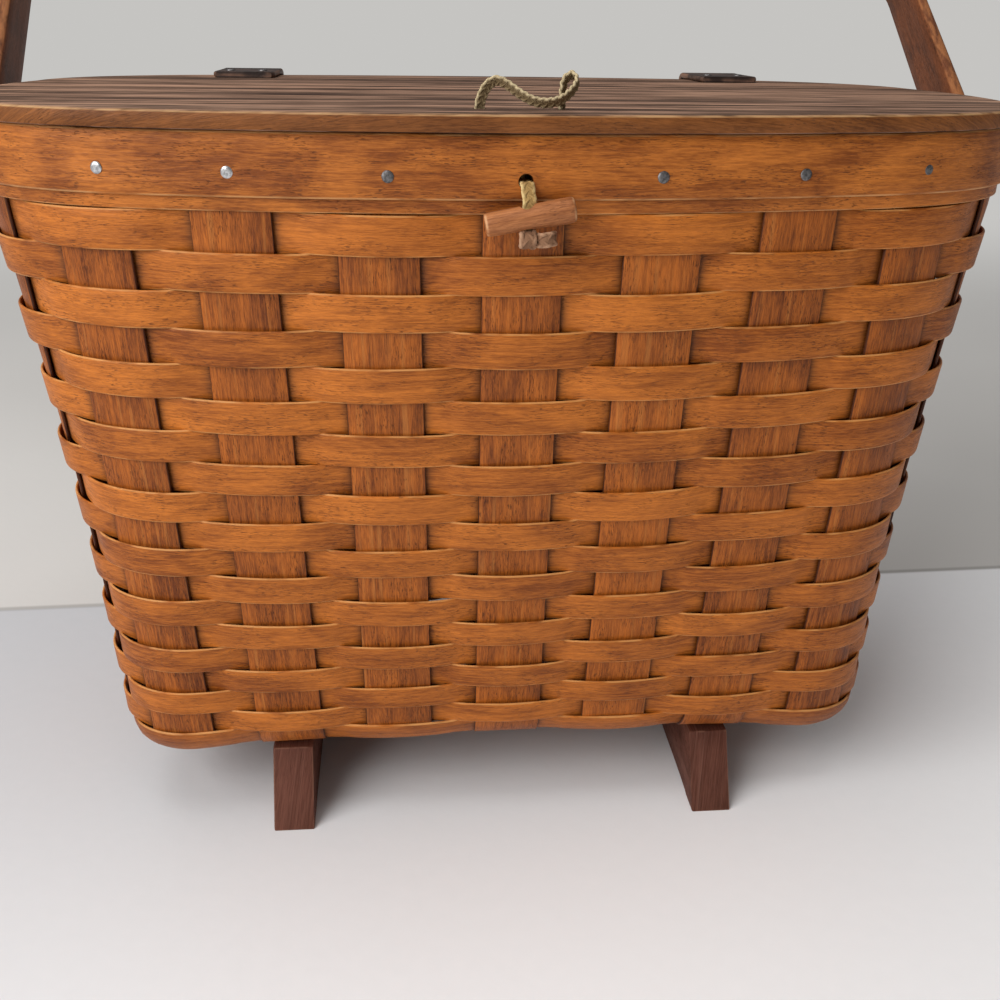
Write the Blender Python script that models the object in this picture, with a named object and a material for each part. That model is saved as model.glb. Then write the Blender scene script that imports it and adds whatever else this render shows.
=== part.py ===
"""Lidded magazine basket, modelled as it is put together on the bench.

Flat wooden splints stand as uprights and run on across the bottom, nineteen woven hoops close
the wall, three bands clamp the rim, a flat board lid hangs on two leather straps, and a bent
swing handle turns on a pin at each end. Lengths are in metres and +Z is up.
"""
import math
from functools import lru_cache

import bmesh
import bpy
import numpy as np
from mathutils import Vector

# Splints
SPLINT_WIDTH = 0.03175
SPLINT_THICKNESS = 0.0016
WEAVER_THICKNESS = 0.0013
WEAVE_GAP = 0.0004
EDGE_GAP = 0.0006
TURN_MARGIN = 0.0012
TOUCH_GAP = 0.0003
ROWS = 19
ROW_TAPER_SHARE = 0.126

# Wall, measured on the middle of the uprights' thickness
FLOOR_HEIGHT = 0.04266
WALL_LENGTH = 0.266
WALL_TILT = math.radians(6.42)
WALL_TILT_CHANGE = math.radians(2.24)
FLOOR_BEND = 0.0231
FLOOR_BEND_IN_WALL_SHARE = 0.6
END_TILT = math.radians(7.2)
END_BEND = 0.012
END_HOLLOW = 0.0055
TOP_HALF_LENGTH = 0.2216
TOP_HALF_DEPTH = 0.1402
TOP_CORNER = 0.0798
TOP_BOW = 0.0137
TOP_END_BOW = 0.0056
BOTTOM_CORNER = 0.0318
BOTTOM_BOW = 0.0051
BOTTOM_END_BOW = 0.003
BOTTOM_DROOP = 0.0094
CORNER_DEPTH_SHARE = 0.95

# Uprights: seven run front to back under the basket and four run end to end
FRONT_COUNT = 3
TOP_PITCH_SHARE = 0.25
BOTTOM_PITCH_SHARE = 0.2378
TOP_END_GAP_SHARE = 0.3031
BOTTOM_END_GAP_SHARE = 0.101
END_STEP_SHARES = (-1.5, -0.5, 0.5, 1.5)

# Rim
RIM_HEIGHT = 0.0290
UNDER_BAND_THICKNESS = 0.0014
OUTER_BAND_THICKNESS = 0.0022
INNER_BAND_THICKNESS = 0.0028
OUTER_BAND_STEP = 0.0057
INNER_BAND_STEP = 0.0025
TOGGLE_HOLE = 0.0058
TOGGLE_HOLE_DROP = 0.0163

# Lid
LID_THICKNESS = 0.0064
LID_SEAT_GAP = 0.0011
LID_OVERHANG = 0.0035
LID_EDGE_ROUND = 0.0008
LOOP_SPACING = 0.0316
LOOP_SETBACK = 0.0286
LOOP_HOLE = 0.0054

# Leather straps
STRAP_WIDTH = 0.0340
STRAP_THICKNESS = 0.0030
STRAP_LAP = 0.0500
STRAP_DROP = 0.0240
LEFT_STRAP_PLACE = -0.1320
RIGHT_STRAP_PLACE = 0.1430
STRAP_SLACK = 0.0030

# Swing handle
HANDLE_LEAN = math.radians(63.0)
HANDLE_REACH = 0.290
HANDLE_WIDTH = 0.0292
HANDLE_FOOT_THICKNESS = 0.0070
HANDLE_TOP_THICKNESS = 0.0048
HANDLE_FLARE = 0.1335
HANDLE_BEND = 0.105
HANDLE_EDGE = 0.0011
PIN_DROP = 0.0170
PIN_DIAMETER = 0.0050
PIN_HEAD_DIAMETER = 0.0120
PIN_HEAD_THICKNESS = 0.0022
WASHER_DIAMETER = 0.0180
WASHER_THICKNESS = 0.0030
PIN_CLEARANCE = 0.0003

# Runners
RUNNER_OFFSET = 0.1068
RUNNER_THICKNESS = 0.0200
RUNNER_HALF_LENGTH = 0.1166
RUNNER_RAKE_SHARE = 0.5
RUNNER_PAD = 0.0140
RUNNER_ARCH = 0.0035
RUNNER_EDGE = 0.0008

# Cords and toggle
LOOP_CORD_DIAMETER = 0.0038
KNOT_DIAMETER = 0.0090
KNOT_HEIGHT = 0.0060
KNOT_SHOULDER_SHARE = 0.9
TOGGLE_CORD_DIAMETER = 0.0040
PEG_LENGTH = 0.0340
PEG_DIAMETER = 0.0096
PEG_TILT = math.radians(9.2)
PEG_DROP = 0.0122
PEG_CHAMFER = 0.0009
TOGGLE_KNOT_WIDTH = 0.0140
TOGGLE_KNOT_HEIGHT = 0.0062
TOGGLE_KNOT_DEPTH = 0.0080
TOGGLE_KNOT_SIDE = 0.0042

# The loop's route over the lid, from its left hole to its right one: places along the lid,
# back from the holes' line and up from the lid's top, chosen by hand
LOOP_ROUTE = (
    (-0.0158, 0.0000, -0.0030), (-0.0157, 0.0000, 0.0006), (-0.0148, 0.0002, 0.0044),
    (-0.0126, 0.0002, 0.0082), (-0.0092, -0.0006, 0.0100), (-0.0054, -0.0020, 0.0086),
    (-0.0008, -0.0042, 0.0056), (0.0042, -0.0064, 0.0032), (0.0096, -0.0074, 0.0026),
    (0.0148, -0.0066, 0.0038), (0.0192, -0.0042, 0.0070), (0.0212, -0.0010, 0.0102),
    (0.0198, 0.0012, 0.0122), (0.0170, 0.0012, 0.0104), (0.0160, 0.0002, 0.0060),
    (0.0158, 0.0000, 0.0010), (0.0158, 0.0000, -0.0030),
)

OVERRUN = 0.004
ROUND_SIDES = 20
SMALL_ROUND_SIDES = 12
STRIP_CORNER = math.radians(35)
CORNER_TURN = math.radians(6)
FOOT_ROUND_ANGLES = (0.15, 0.5, 0.85, 1.2)
FRONT_STEPS = 6
CORNER_STEPS = 14
END_STEPS = 4
STRIP_ROWS = (0, 2, 4, 6, 9, 12, 15, 17, 18, 19)

COLOURS = {
    "weaver": (0.46, 0.17, 0.055),
    "upright": (0.33, 0.115, 0.038),
    "rim": (0.40, 0.13, 0.042),
    "lid": (0.20, 0.12, 0.075),
    "handle": (0.10, 0.035, 0.016),
    "runner": (0.11, 0.045, 0.032),
    "leather": (0.022, 0.014, 0.011),
    "cord": (0.50, 0.38, 0.22),
    "peg": (0.36, 0.14, 0.055),
    "steel": (0.42, 0.41, 0.40),
}
ROUGHNESS = {"leather": 0.55, "cord": 0.9, "steel": 0.4, "lid": 0.6}
PLAIN_ROUGHNESS = 0.5


def clear_scene():
    for old in list(bpy.data.objects):
        bpy.data.objects.remove(old, do_unlink=True)


def material(kind):
    """One Principled material for each kind of stuff, made on first use."""
    found = bpy.data.materials.get(kind)
    if found:
        return found
    made = bpy.data.materials.new(kind)
    made.use_nodes = True
    shader = made.node_tree.nodes["Principled BSDF"]
    shader.inputs["Base Color"].default_value = (*COLOURS[kind], 1.0)
    shader.inputs["Roughness"].default_value = ROUGHNESS.get(kind, PLAIN_ROUGHNESS)
    shader.inputs["Metallic"].default_value = 1.0 if kind == "steel" else 0.0
    return made


def new_object(name, mesh, kind, origin=(0.0, 0.0, 0.0)):
    """Links a mesh under a name, with its origin moved to the given point."""
    place = Vector(origin)
    for vertex in mesh.vertices:
        vertex.co -= place
    made = bpy.data.objects.new(name, mesh)
    made.location = place
    mesh.materials.append(material(kind))
    mesh.shade_smooth()
    mesh.set_sharp_from_angle(angle=STRIP_CORNER)
    bpy.context.scene.collection.objects.link(made)
    return made


def faces_out(mesh):
    """Turns every face to point outwards."""
    work = bmesh.new()
    work.from_mesh(mesh)
    bmesh.ops.recalc_face_normals(work, faces=work.faces)
    work.to_mesh(mesh)
    work.free()


def skin(name, kind, outer, inner, closed=False, origin=(0.0, 0.0, 0.0)):
    """A thin solid between two grids of points: rows run along the strip, columns across it."""
    rows = len(outer)
    columns = len(outer[0])
    points = [tuple(p) for grid in (outer, inner) for line in grid for p in line]

    def at(grid, row, column):
        return grid * rows * columns + (row % rows) * columns + column

    faces = []
    for row in range(rows if closed else rows - 1):
        for column in range(columns - 1):
            for grid in (0, 1):
                faces.append((at(grid, row, column), at(grid, row + 1, column),
                              at(grid, row + 1, column + 1), at(grid, row, column + 1)))
        for column in (0, columns - 1):
            faces.append((at(0, row, column), at(1, row, column),
                          at(1, row + 1, column), at(0, row + 1, column)))
    if not closed:
        for row in (0, rows - 1):
            for column in range(columns - 1):
                faces.append((at(0, row, column), at(0, row, column + 1),
                              at(1, row, column + 1), at(1, row, column)))
    mesh = bpy.data.meshes.new(name)
    mesh.from_pydata(points, [], faces)
    faces_out(mesh)
    return new_object(name, mesh, kind, origin)


def prism(name, kind, outline, axis, low, high, edge=0.0, origin=(0.0, 0.0, 0.0)):
    """An outline in the plane across an axis (0 for X, 2 for Z), pushed from low to high."""
    def place(first, second, along):
        return (along, first, second) if axis == 0 else (first, second, along)

    work = bmesh.new()
    bottom = [work.verts.new(place(a, b, low)) for a, b in outline]
    top = [work.verts.new(place(a, b, high)) for a, b in outline]
    work.faces.new(bottom)
    work.faces.new(top)
    count = len(outline)
    for step in range(count):
        after = (step + 1) % count
        work.faces.new((bottom[step], bottom[after], top[after], top[step]))
    bmesh.ops.recalc_face_normals(work, faces=work.faces)
    if edge:
        ends = set(work.faces[:2])
        rim = [e for e in work.edges if len(ends.intersection(e.link_faces)) == 1]
        bmesh.ops.bevel(work, geom=rim, offset=edge, segments=1, affect="EDGES")
    mesh = bpy.data.meshes.new(name)
    work.to_mesh(mesh)
    work.free()
    return new_object(name, mesh, kind, origin)


def turned(name, kind, profile, start, direction, sides=ROUND_SIDES, origin=(0.0, 0.0, 0.0)):
    """A round piece: pairs of place along the axis and radius, closed on the axis at both ends."""
    axis = Vector(direction).normalized()
    across = axis.orthogonal().normalized()
    third = axis.cross(across)
    work = bmesh.new()
    rings = []
    for along, radius in profile:
        centre = Vector(start) + axis * along
        ring = []
        for side in range(sides):
            angle = 2 * math.pi * side / sides
            spoke = across * math.cos(angle) + third * math.sin(angle)
            ring.append(work.verts.new(centre + spoke * radius))
        rings.append(ring)
    for before, after in zip(rings, rings[1:]):
        for side in range(sides):
            beside = (side + 1) % sides
            work.faces.new((before[side], before[beside], after[beside], after[side]))
    work.faces.new(rings[0])
    work.faces.new(rings[-1])
    bmesh.ops.recalc_face_normals(work, faces=work.faces)
    mesh = bpy.data.meshes.new(name)
    work.to_mesh(mesh)
    work.free()
    return new_object(name, mesh, kind, origin)


def drill(target, start, direction, length, diameter, sides=SMALL_ROUND_SIDES):
    """Cuts a round hole through a piece with a cylinder that is kept as a hidden cutter."""
    label = f"cutter_{target.name}_{len(target.modifiers)}"
    half_turn = 1.0 / math.cos(math.pi / sides)
    tool = turned(label, "steel", ((0.0, diameter / 2 * half_turn), (length, diameter / 2 * half_turn)),
                  start, direction, sides)
    tool.hide_render = True
    tool.display_type = "WIRE"
    cut = target.modifiers.new("hole", "BOOLEAN")
    cut.operation = "DIFFERENCE"
    cut.solver = "EXACT"
    cut.object = tool
    return tool


def tube(name, kind, route, diameter, count, origin=(0.0, 0.0, 0.0)):
    """A cord: a poly spline with a bevel, its points read from a smooth curve through the route."""
    line = smooth_line(route, count)
    curve = bpy.data.curves.new(name, "CURVE")
    curve.dimensions = "3D"
    curve.bevel_depth = diameter / 2
    curve.bevel_resolution = 2
    curve.use_fill_caps = True
    spline = curve.splines.new("POLY")
    spline.points.add(len(line) - 1)
    for point, place in zip(spline.points, line):
        point.co = (*(Vector(place) - Vector(origin)), 1.0)
    made = bpy.data.objects.new(name, curve)
    made.location = Vector(origin)
    curve.materials.append(material(kind))
    bpy.context.scene.collection.objects.link(made)
    return made


def smooth_line(route, count):
    """Points at even steps along a Catmull-Rom curve through the route."""
    knots = [Vector(p) for p in route]
    knots = [knots[0] * 2 - knots[1]] + knots + [knots[-1] * 2 - knots[-2]]
    fine = []
    parts = 12
    for a, b, c, d in zip(knots, knots[1:], knots[2:], knots[3:]):
        for part in range(parts):
            t = part / parts
            fine.append(0.5 * (2 * b + (c - a) * t + (2 * a - 5 * b + 4 * c - d) * t ** 2
                               + (3 * b - a - 3 * c + d) * t ** 3))
    fine.append(knots[-2])
    steps = [0.0]
    for before, after in zip(fine, fine[1:]):
        steps.append(steps[-1] + (after - before).length)
    wanted = np.linspace(0.0, steps[-1], count)
    columns = [np.interp(wanted, steps, [p[i] for p in fine]) for i in range(3)]
    return [Vector(p) for p in zip(*columns)]


# The wall's shape. A level is a length measured down the wall from the rim's lower line.
STEEPEST = WALL_TILT + WALL_TILT_CHANGE
STRAIGHT_LENGTH = WALL_LENGTH - FLOOR_BEND * (math.pi / 2 - STEEPEST) * FLOOR_BEND_IN_WALL_SHARE
FLOOR_LEVEL = STRAIGHT_LENGTH + FLOOR_BEND * (math.pi / 2 - STEEPEST)


def wall_profile(level):
    """How far a level lies inside the rim line and below it."""
    grid = np.linspace(0.0, STRAIGHT_LENGTH, 40)
    tilt = WALL_TILT + WALL_TILT_CHANGE * (2 * grid / STRAIGHT_LENGTH - 1)
    middle = (tilt[1:] + tilt[:-1]) / 2
    step = np.diff(grid)
    inward = np.concatenate(([0.0], np.cumsum(np.sin(middle) * step)))
    down = np.concatenate(([0.0], np.cumsum(np.cos(middle) * step)))
    straight = min(max(level, 0.0), STRAIGHT_LENGTH)
    bend = STEEPEST + max(level - STRAIGHT_LENGTH, 0.0) / FLOOR_BEND
    above = min(level, 0.0)
    return (float(np.interp(straight, grid, inward)) + FLOOR_BEND * (math.cos(STEEPEST) - math.cos(bend)),
            float(np.interp(straight, grid, down)) + FLOOR_BEND * (math.sin(bend) - math.sin(STEEPEST)) + above)


WALL_TOP_HEIGHT = FLOOR_HEIGHT + wall_profile(FLOOR_LEVEL)[1]
END_BEND_TOP = FLOOR_HEIGHT - BOTTOM_DROOP + END_BEND * (1 - math.sin(END_TILT))


def end_inset(height):
    """How far the end wall, a little hollow at half height, lies inside the rim line."""
    drop = WALL_TOP_HEIGHT - min(max(height, END_BEND_TOP), WALL_TOP_HEIGHT)
    share = drop / (WALL_TOP_HEIGHT - END_BEND_TOP)
    straight = drop * math.tan(END_TILT) + 4 * END_HOLLOW * share * (1 - share)
    lift = min((END_BEND_TOP - height) / END_BEND, 1.0 - math.sin(END_TILT))
    if lift <= 0:
        return straight
    angle = math.asin(min(math.sin(END_TILT) + lift, 1.0))
    return straight + END_BEND * (math.cos(END_TILT) - math.cos(angle))


# The front's uprights share out its length. Across an end the splints' own widths come first,
# and what is left of the depth sets the gaps between them.
TOP_PITCH = TOP_HALF_LENGTH * TOP_PITCH_SHARE
BOTTOM_PITCH = TOP_HALF_LENGTH * BOTTOM_PITCH_SHARE
END_ROOM = TOP_HALF_DEPTH - 2 * SPLINT_WIDTH
TOP_END_PITCH = SPLINT_WIDTH + END_ROOM * TOP_END_GAP_SHARE
BOTTOM_END_PITCH = SPLINT_WIDTH + END_ROOM * BOTTOM_END_GAP_SHARE


def mixed_by(first, last, share):
    return first + (last - first) * min(max(share, 0.0), 1.0)


def mixed(top, bottom, level):
    return mixed_by(top, bottom, level / WALL_LENGTH)


def sag(level):
    """How much of the bottom's droop a level takes up."""
    return BOTTOM_DROOP * min(max(level / WALL_LENGTH, 0.0), 1.0) ** 4


@lru_cache(maxsize=None)
def plan(level):
    """A quarter of the outline at a level, from the front's middle round to the end's middle."""
    inward, down = wall_profile(level)
    half_length = TOP_HALF_LENGTH - end_inset(WALL_TOP_HEIGHT - down - sag(level))
    half_depth = TOP_HALF_DEPTH - inward
    corner = mixed(TOP_CORNER, BOTTOM_CORNER, level) - max(inward - wall_profile(WALL_LENGTH)[0], 0.0)
    bow = mixed(TOP_BOW, BOTTOM_BOW, level)
    end_bow = mixed(TOP_END_BOW, BOTTOM_END_BOW, level)
    straight = half_length - corner
    slope = 2 * bow / straight
    points = [(x, -half_depth + bow * (x / straight) ** 2)
              for x in np.linspace(0.0, straight, FRONT_STEPS, endpoint=False)]
    for angle in np.linspace(0.0, math.pi / 2, CORNER_STEPS):
        run = corner * math.sin(angle)
        fall = CORNER_DEPTH_SHARE * corner * (1 - math.cos(angle))
        points.append((straight + run, -half_depth + bow + fall + slope * run * (1 - math.sin(angle))))
    end_start = points[-1][1]
    for y in np.linspace(end_start, 0.0, END_STEPS)[1:]:
        points.append((half_length + end_bow * (1 - (y / end_start) ** 2), y))
    quarter = np.array(points)
    steps = np.hypot(*np.diff(quarter, axis=0).T)
    return quarter, np.concatenate(([0.0], np.cumsum(steps)))


def surface(way, level):
    """A point of the wall, found by its way round the outline from the front's middle."""
    quarter, lengths = plan(level)
    total = lengths[-1]
    short = abs(way)
    behind = short > total
    short = 2 * total - short if behind else short
    x = float(np.interp(short, lengths, quarter[:, 0])) * (-1 if way < 0 else 1)
    y = float(np.interp(short, lengths, quarter[:, 1])) * (-1 if behind else 1)
    height = WALL_TOP_HEIGHT - wall_profile(level)[1]
    height -= sag(level) * min(abs(x) / quarter[-1, 0], 1.0) ** 2
    return Vector((x, y, height))


def frame_at(way, level):
    """Point, direction along the wall and outward normal at a place on the wall."""
    nudge = SPLINT_WIDTH / 8
    drop = WEAVER_THICKNESS
    tangent = (surface(way + nudge, level) - surface(way - nudge, level)).normalized()
    down = (surface(way, level + drop) - surface(way, level - drop)).normalized()
    return surface(way, level), tangent, down.cross(tangent).normalized()


def upright_way(side, step, level):
    """How far round the outline an upright's middle stands at a level: side 1 is the right end."""
    quarter, lengths = plan(level)
    if side == 0:
        place = step * mixed(TOP_PITCH, BOTTOM_PITCH, level)
        return math.copysign(float(np.interp(abs(place), quarter[:, 0], lengths)), place)
    place = step * mixed(TOP_END_PITCH, BOTTOM_END_PITCH, level)
    way = float(np.interp(-abs(place), quarter[:, 1], lengths))
    return way if place < 0 else 2 * lengths[-1] - way


def upright_shares(side, step):
    """Shares of half a splint's width at which an upright is sampled: three where the wall turns."""
    in_corner = abs(step) == FRONT_COUNT if side == 0 else abs(step) == END_STEP_SHARES[-1]
    return (-1.0, 0.0, 1.0) if in_corner else (-1.0, 1.0)


def upright_points(side, step, level, turn, half):
    """The upright's sampled points and normals, on the wall asked for: turn 1 is front or right."""
    way = upright_way(side, step, level)
    flip = Vector((1, turn, 1)) if side == 0 else Vector((turn, 1, 1))
    found = []
    for share in upright_shares(side, step):
        here, tangent, normal = frame_at(way + share * half, level)
        found.append((here * flip, normal * flip))
    return found


def row_level(row):
    share = row / ROWS
    return WALL_LENGTH * (share + ROW_TAPER_SHARE * share * (1 - share))


def crossings():
    """Every upright in order round the basket, as side, step and turn."""
    steps = range(-FRONT_COUNT, FRONT_COUNT + 1)
    ring = [(0, step, 1) for step in steps]
    ring += [(1, share, 1) for share in END_STEP_SHARES]
    ring += [(0, step, -1) for step in reversed(steps)]
    ring += [(1, share, -1) for share in reversed(END_STEP_SHARES)]
    return ring


def weaver(row):
    """One closed hoop that runs over every other upright and under the rest."""
    levels = (row_level(row) + EDGE_GAP / 2, row_level(row + 1) - EDGE_GAP / 2)
    reach = SPLINT_WIDTH / 2 + TURN_MARGIN
    lift = SPLINT_THICKNESS / 2 + WEAVE_GAP + WEAVER_THICKNESS / 2
    stations = []
    for index, (side, step, turn) in enumerate(crossings()):
        clear = lift + (WEAVE_GAP if len(upright_shares(side, step)) > 2 else 0.0)
        out = clear if (index + row) % 2 == 0 else -clear
        upper, lower = [upright_points(side, step, level, turn, reach) for level in levels]
        both = list(zip(upper, lower))
        ordered = both if turn > 0 else both[::-1]
        stations.append([[(here + normal * out, normal) for here, normal in pair] for pair in ordered])
    stations = with_corners(stations)
    half = WEAVER_THICKNESS / 2
    outer = [[here + normal * half for here, normal in pair] for pair in stations]
    inner = [[here - normal * half for here, normal in pair] for pair in stations]
    return skin(f"weaver_{row + 1:02d}", "weaver", outer, inner, closed=True)


def with_corners(groups):
    """Joins the crossings' stations, adding one where the hoop turns between two uprights."""
    joined = []
    for index, group in enumerate(groups):
        joined += group
        pair = group[-1]
        after = groups[(index + 1) % len(groups)][0]
        turn = pair[0][1].angle(after[0][1])
        if turn < CORNER_TURN:
            continue
        extra = []
        for (near, near_normal), (far, far_normal) in zip(pair, after):
            normal = (near_normal + far_normal).normalized()
            push = (far - near).length * math.tan(turn / 4) / 2
            extra.append(((near + far) / 2 + normal * push, normal))
        joined.append(extra)
    return joined


def strip_levels():
    """Levels where an upright's strip has a cross line, closer together on the floor bend."""
    levels = [-RIM_HEIGHT] + [row_level(row) for row in STRIP_ROWS]
    return levels + list(np.linspace(WALL_LENGTH, FLOOR_LEVEL, 4)[1:])


def bottom_height(x):
    """The middle of the woven bottom droops towards the ends."""
    half_length = plan(WALL_LENGTH)[0][-1, 0]
    return FLOOR_HEIGHT - BOTTOM_DROOP * (x / half_length) ** 2


def strip(name, side, step, parity):
    """An upright: down one wall, over and under across the bottom, and up the other wall."""
    half = SPLINT_WIDTH / 2
    lines = [upright_points(side, step, level, 1, half) for level in strip_levels()]
    lines += bottom_lines(side, step, parity)
    lines += [upright_points(side, step, level, -1, half) for level in reversed(strip_levels())]
    thick = SPLINT_THICKNESS / 2
    outer = [[here + normal * thick for here, normal in line] for line in lines]
    inner = [[here - normal * thick for here, normal in line] for line in lines]
    return skin(name, "upright", outer, inner)


def bottom_lines(side, step, parity):
    """The plaited stretch: a line at each edge of each crossing, lifted or lowered by turns."""
    lift = (SPLINT_THICKNESS + WEAVE_GAP) / 2
    reach = SPLINT_WIDTH / 2 + TURN_MARGIN / 2
    half = SPLINT_WIDTH / 2
    shares = upright_shares(side, step)
    end_places = [share * BOTTOM_END_PITCH for share in END_STEP_SHARES]
    front_places = [i * BOTTOM_PITCH for i in range(FRONT_COUNT, -FRONT_COUNT - 1, -1)]
    crossed = end_places if side == 0 else front_places
    lines = []
    for index, place in enumerate(crossed):
        out = lift if (index + parity) % 2 == 0 else -lift
        for edge in ((-reach, reach) if side == 0 else (reach, -reach)):
            middle_x = step * BOTTOM_PITCH if side == 0 else place
            grade = (bottom_height(middle_x + half) - bottom_height(middle_x - half)) / SPLINT_WIDTH
            down = Vector((grade, 0.0, -1.0)).normalized()
            line = []
            for share in shares:
                across = share * half if side == 0 else edge
                y = place + edge if side == 0 else step * BOTTOM_END_PITCH + share * half
                height = bottom_height(middle_x) + grade * across
                line.append((Vector((middle_x + across, y, height)) + down * out, down))
            lines.append(line)
    return lines


def ring_outline(grow):
    """The whole outline of the rim line, pushed out by a length."""
    quarter = [Vector((x, y)) for x, y in plan(0.0)[0]]
    pushed = []
    for index, point in enumerate(quarter):
        before = quarter[index - 1] if index else Vector((-quarter[1].x, quarter[1].y))
        after = quarter[index + 1] if index + 1 < len(quarter) else Vector((quarter[-2].x, -quarter[-2].y))
        along = (after - before).normalized()
        pushed.append(point + Vector((along.y, -along.x)) * grow)
    right = pushed + [Vector((p.x, -p.y)) for p in reversed(pushed[:-1])]
    left = [Vector((-p.x, p.y)) for p in reversed(right[1:-1])]
    return right + left


def band(name, near, far, low, high):
    """A rim band between two distances from the middle of the uprights."""
    outer = [[(p.x, p.y, low), (p.x, p.y, high)] for p in ring_outline(far)]
    inner = [[(p.x, p.y, low), (p.x, p.y, high)] for p in ring_outline(near)]
    return skin(name, "rim", outer, inner, closed=True)


RIM_TOP = WALL_TOP_HEIGHT + RIM_HEIGHT
UNDER_NEAR = SPLINT_THICKNESS / 2 + TOUCH_GAP
UNDER_FAR = UNDER_NEAR + UNDER_BAND_THICKNESS
OUTER_NEAR = UNDER_FAR + TOUCH_GAP
OUTER_FAR = OUTER_NEAR + OUTER_BAND_THICKNESS
INNER_NEAR = -SPLINT_THICKNESS / 2 - 2 * TOUCH_GAP
INNER_FAR = INNER_NEAR - INNER_BAND_THICKNESS
TOGGLE_HOLE_HEIGHT = RIM_TOP - TOGGLE_HOLE_DROP
PIN_HEIGHT = RIM_TOP - PIN_DROP
END_FACE = TOP_HALF_LENGTH + TOP_END_BOW + OUTER_FAR
FRONT_FACE = TOP_HALF_DEPTH + OUTER_FAR


def rim():
    """Inner, under and outer bands, drilled for the toggle cord and for the handle's pins."""
    lowest = WALL_TOP_HEIGHT + TOUCH_GAP
    bands = [
        band("rim_inner_band", INNER_NEAR, INNER_FAR, WALL_TOP_HEIGHT + INNER_BAND_STEP, RIM_TOP),
        band("rim_under_band", UNDER_NEAR, UNDER_FAR, lowest, RIM_TOP),
        band("rim_outer_band", OUTER_NEAR, OUTER_FAR, WALL_TOP_HEIGHT + OUTER_BAND_STEP, RIM_TOP),
    ]
    through = OUTER_FAR - INNER_FAR + 2 * OVERRUN
    for piece in bands + [bpy.data.objects["upright_front_4"]]:
        drill(piece, (0.0, -FRONT_FACE - OVERRUN, TOGGLE_HOLE_HEIGHT), (0, 1, 0), through, TOGGLE_HOLE)
    for piece in bands:
        for turn in (-1, 1):
            drill(piece, (turn * (END_FACE + OVERRUN), 0.0, PIN_HEIGHT), (-turn, 0, 0),
                  through, PIN_DIAMETER + 2 * PIN_CLEARANCE)


LID_LOW = RIM_TOP + LID_SEAT_GAP
LID_TOP = LID_LOW + LID_THICKNESS
LID_GROW = OUTER_FAR + LID_OVERHANG
LID_BACK = TOP_HALF_DEPTH + LID_GROW
HINGE_Y = LID_BACK + 2 * TOUCH_GAP
HINGE_Z = LID_TOP + TOUCH_GAP + STRAP_THICKNESS
LOOP_Y = -LID_BACK + LOOP_SETBACK


def lid():
    """The lid board, drilled for the loop's two ends, turning on the straps' fold line."""
    hinge = (0.0, HINGE_Y, HINGE_Z)
    outline = [(p.x, p.y) for p in ring_outline(LID_GROW)]
    board = prism("lid_board", "lid", outline, 2, LID_LOW, LID_TOP, LID_EDGE_ROUND, hinge)
    for turn in (-1, 1):
        drill(board, (turn * LOOP_SPACING / 2, LOOP_Y, LID_LOW - OVERRUN), (0, 0, 1),
              LID_THICKNESS + 2 * OVERRUN, LOOP_HOLE)


def strap(side_name, centre):
    """A leather strap in its two leaves: one lies on the lid and one hangs down the rim."""
    hinge = (0.0, HINGE_Y, HINGE_Z)
    half = STRAP_WIDTH / 2
    low = LID_TOP + TOUCH_GAP
    end = HINGE_Y - TOUCH_GAP / 2
    outline = [(LID_BACK - STRAP_LAP, low), (end, low), (end, HINGE_Z), (LID_BACK - STRAP_LAP, HINGE_Z)]
    prism(f"strap_{side_name}_lid_leaf", "leather", outline, 0, centre - half, centre + half, 0.0, hinge)
    outer = []
    inner = []
    for x in np.linspace(centre - half, centre + half, 5):
        out_line, in_line = rim_leaf_lines(x)
        outer.append(out_line)
        inner.append(in_line)
    skin(f"strap_{side_name}_rim_leaf", "leather", outer, inner)


def rim_leaf_lines(x):
    """The hanging leaf's two sides at one place across it: over the fold, in and down the rim."""
    quarter = [Vector((p.x, p.y)) for p in ring_outline(OUTER_FAR) if p.x >= 0 and p.y >= 0]
    quarter.sort(key=lambda p: p.x)
    face = float(np.interp(abs(x), [p.x for p in quarter], [p.y for p in quarter])) + TOUCH_GAP
    fold = HINGE_Y + TOUCH_GAP / 2
    bulge = fold + STRAP_SLACK
    nail_top = RIM_TOP - STRAP_DROP / 3
    foot = RIM_TOP - STRAP_DROP
    thick = STRAP_THICKNESS
    outer = [(fold, HINGE_Z), (bulge - thick / 3, HINGE_Z - thick / 3), (bulge, HINGE_Z - thick),
             (bulge - thick / 2, LID_LOW), (face + thick, nail_top), (face + thick, foot)]
    inner = [(fold, HINGE_Z - thick + TOUCH_GAP), (fold + TOUCH_GAP, HINGE_Z - thick),
             (fold, HINGE_Z - thick - 2 * TOUCH_GAP), (fold - thick, LID_LOW - thick / 2),
             (face, nail_top - thick / 3), (face, foot)]
    return ([(x, y, z) for y, z in outer], [(x, y, z) for y, z in inner])


HANDLE_INNER = END_FACE + 2 * TOUCH_GAP + WASHER_THICKNESS


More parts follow.
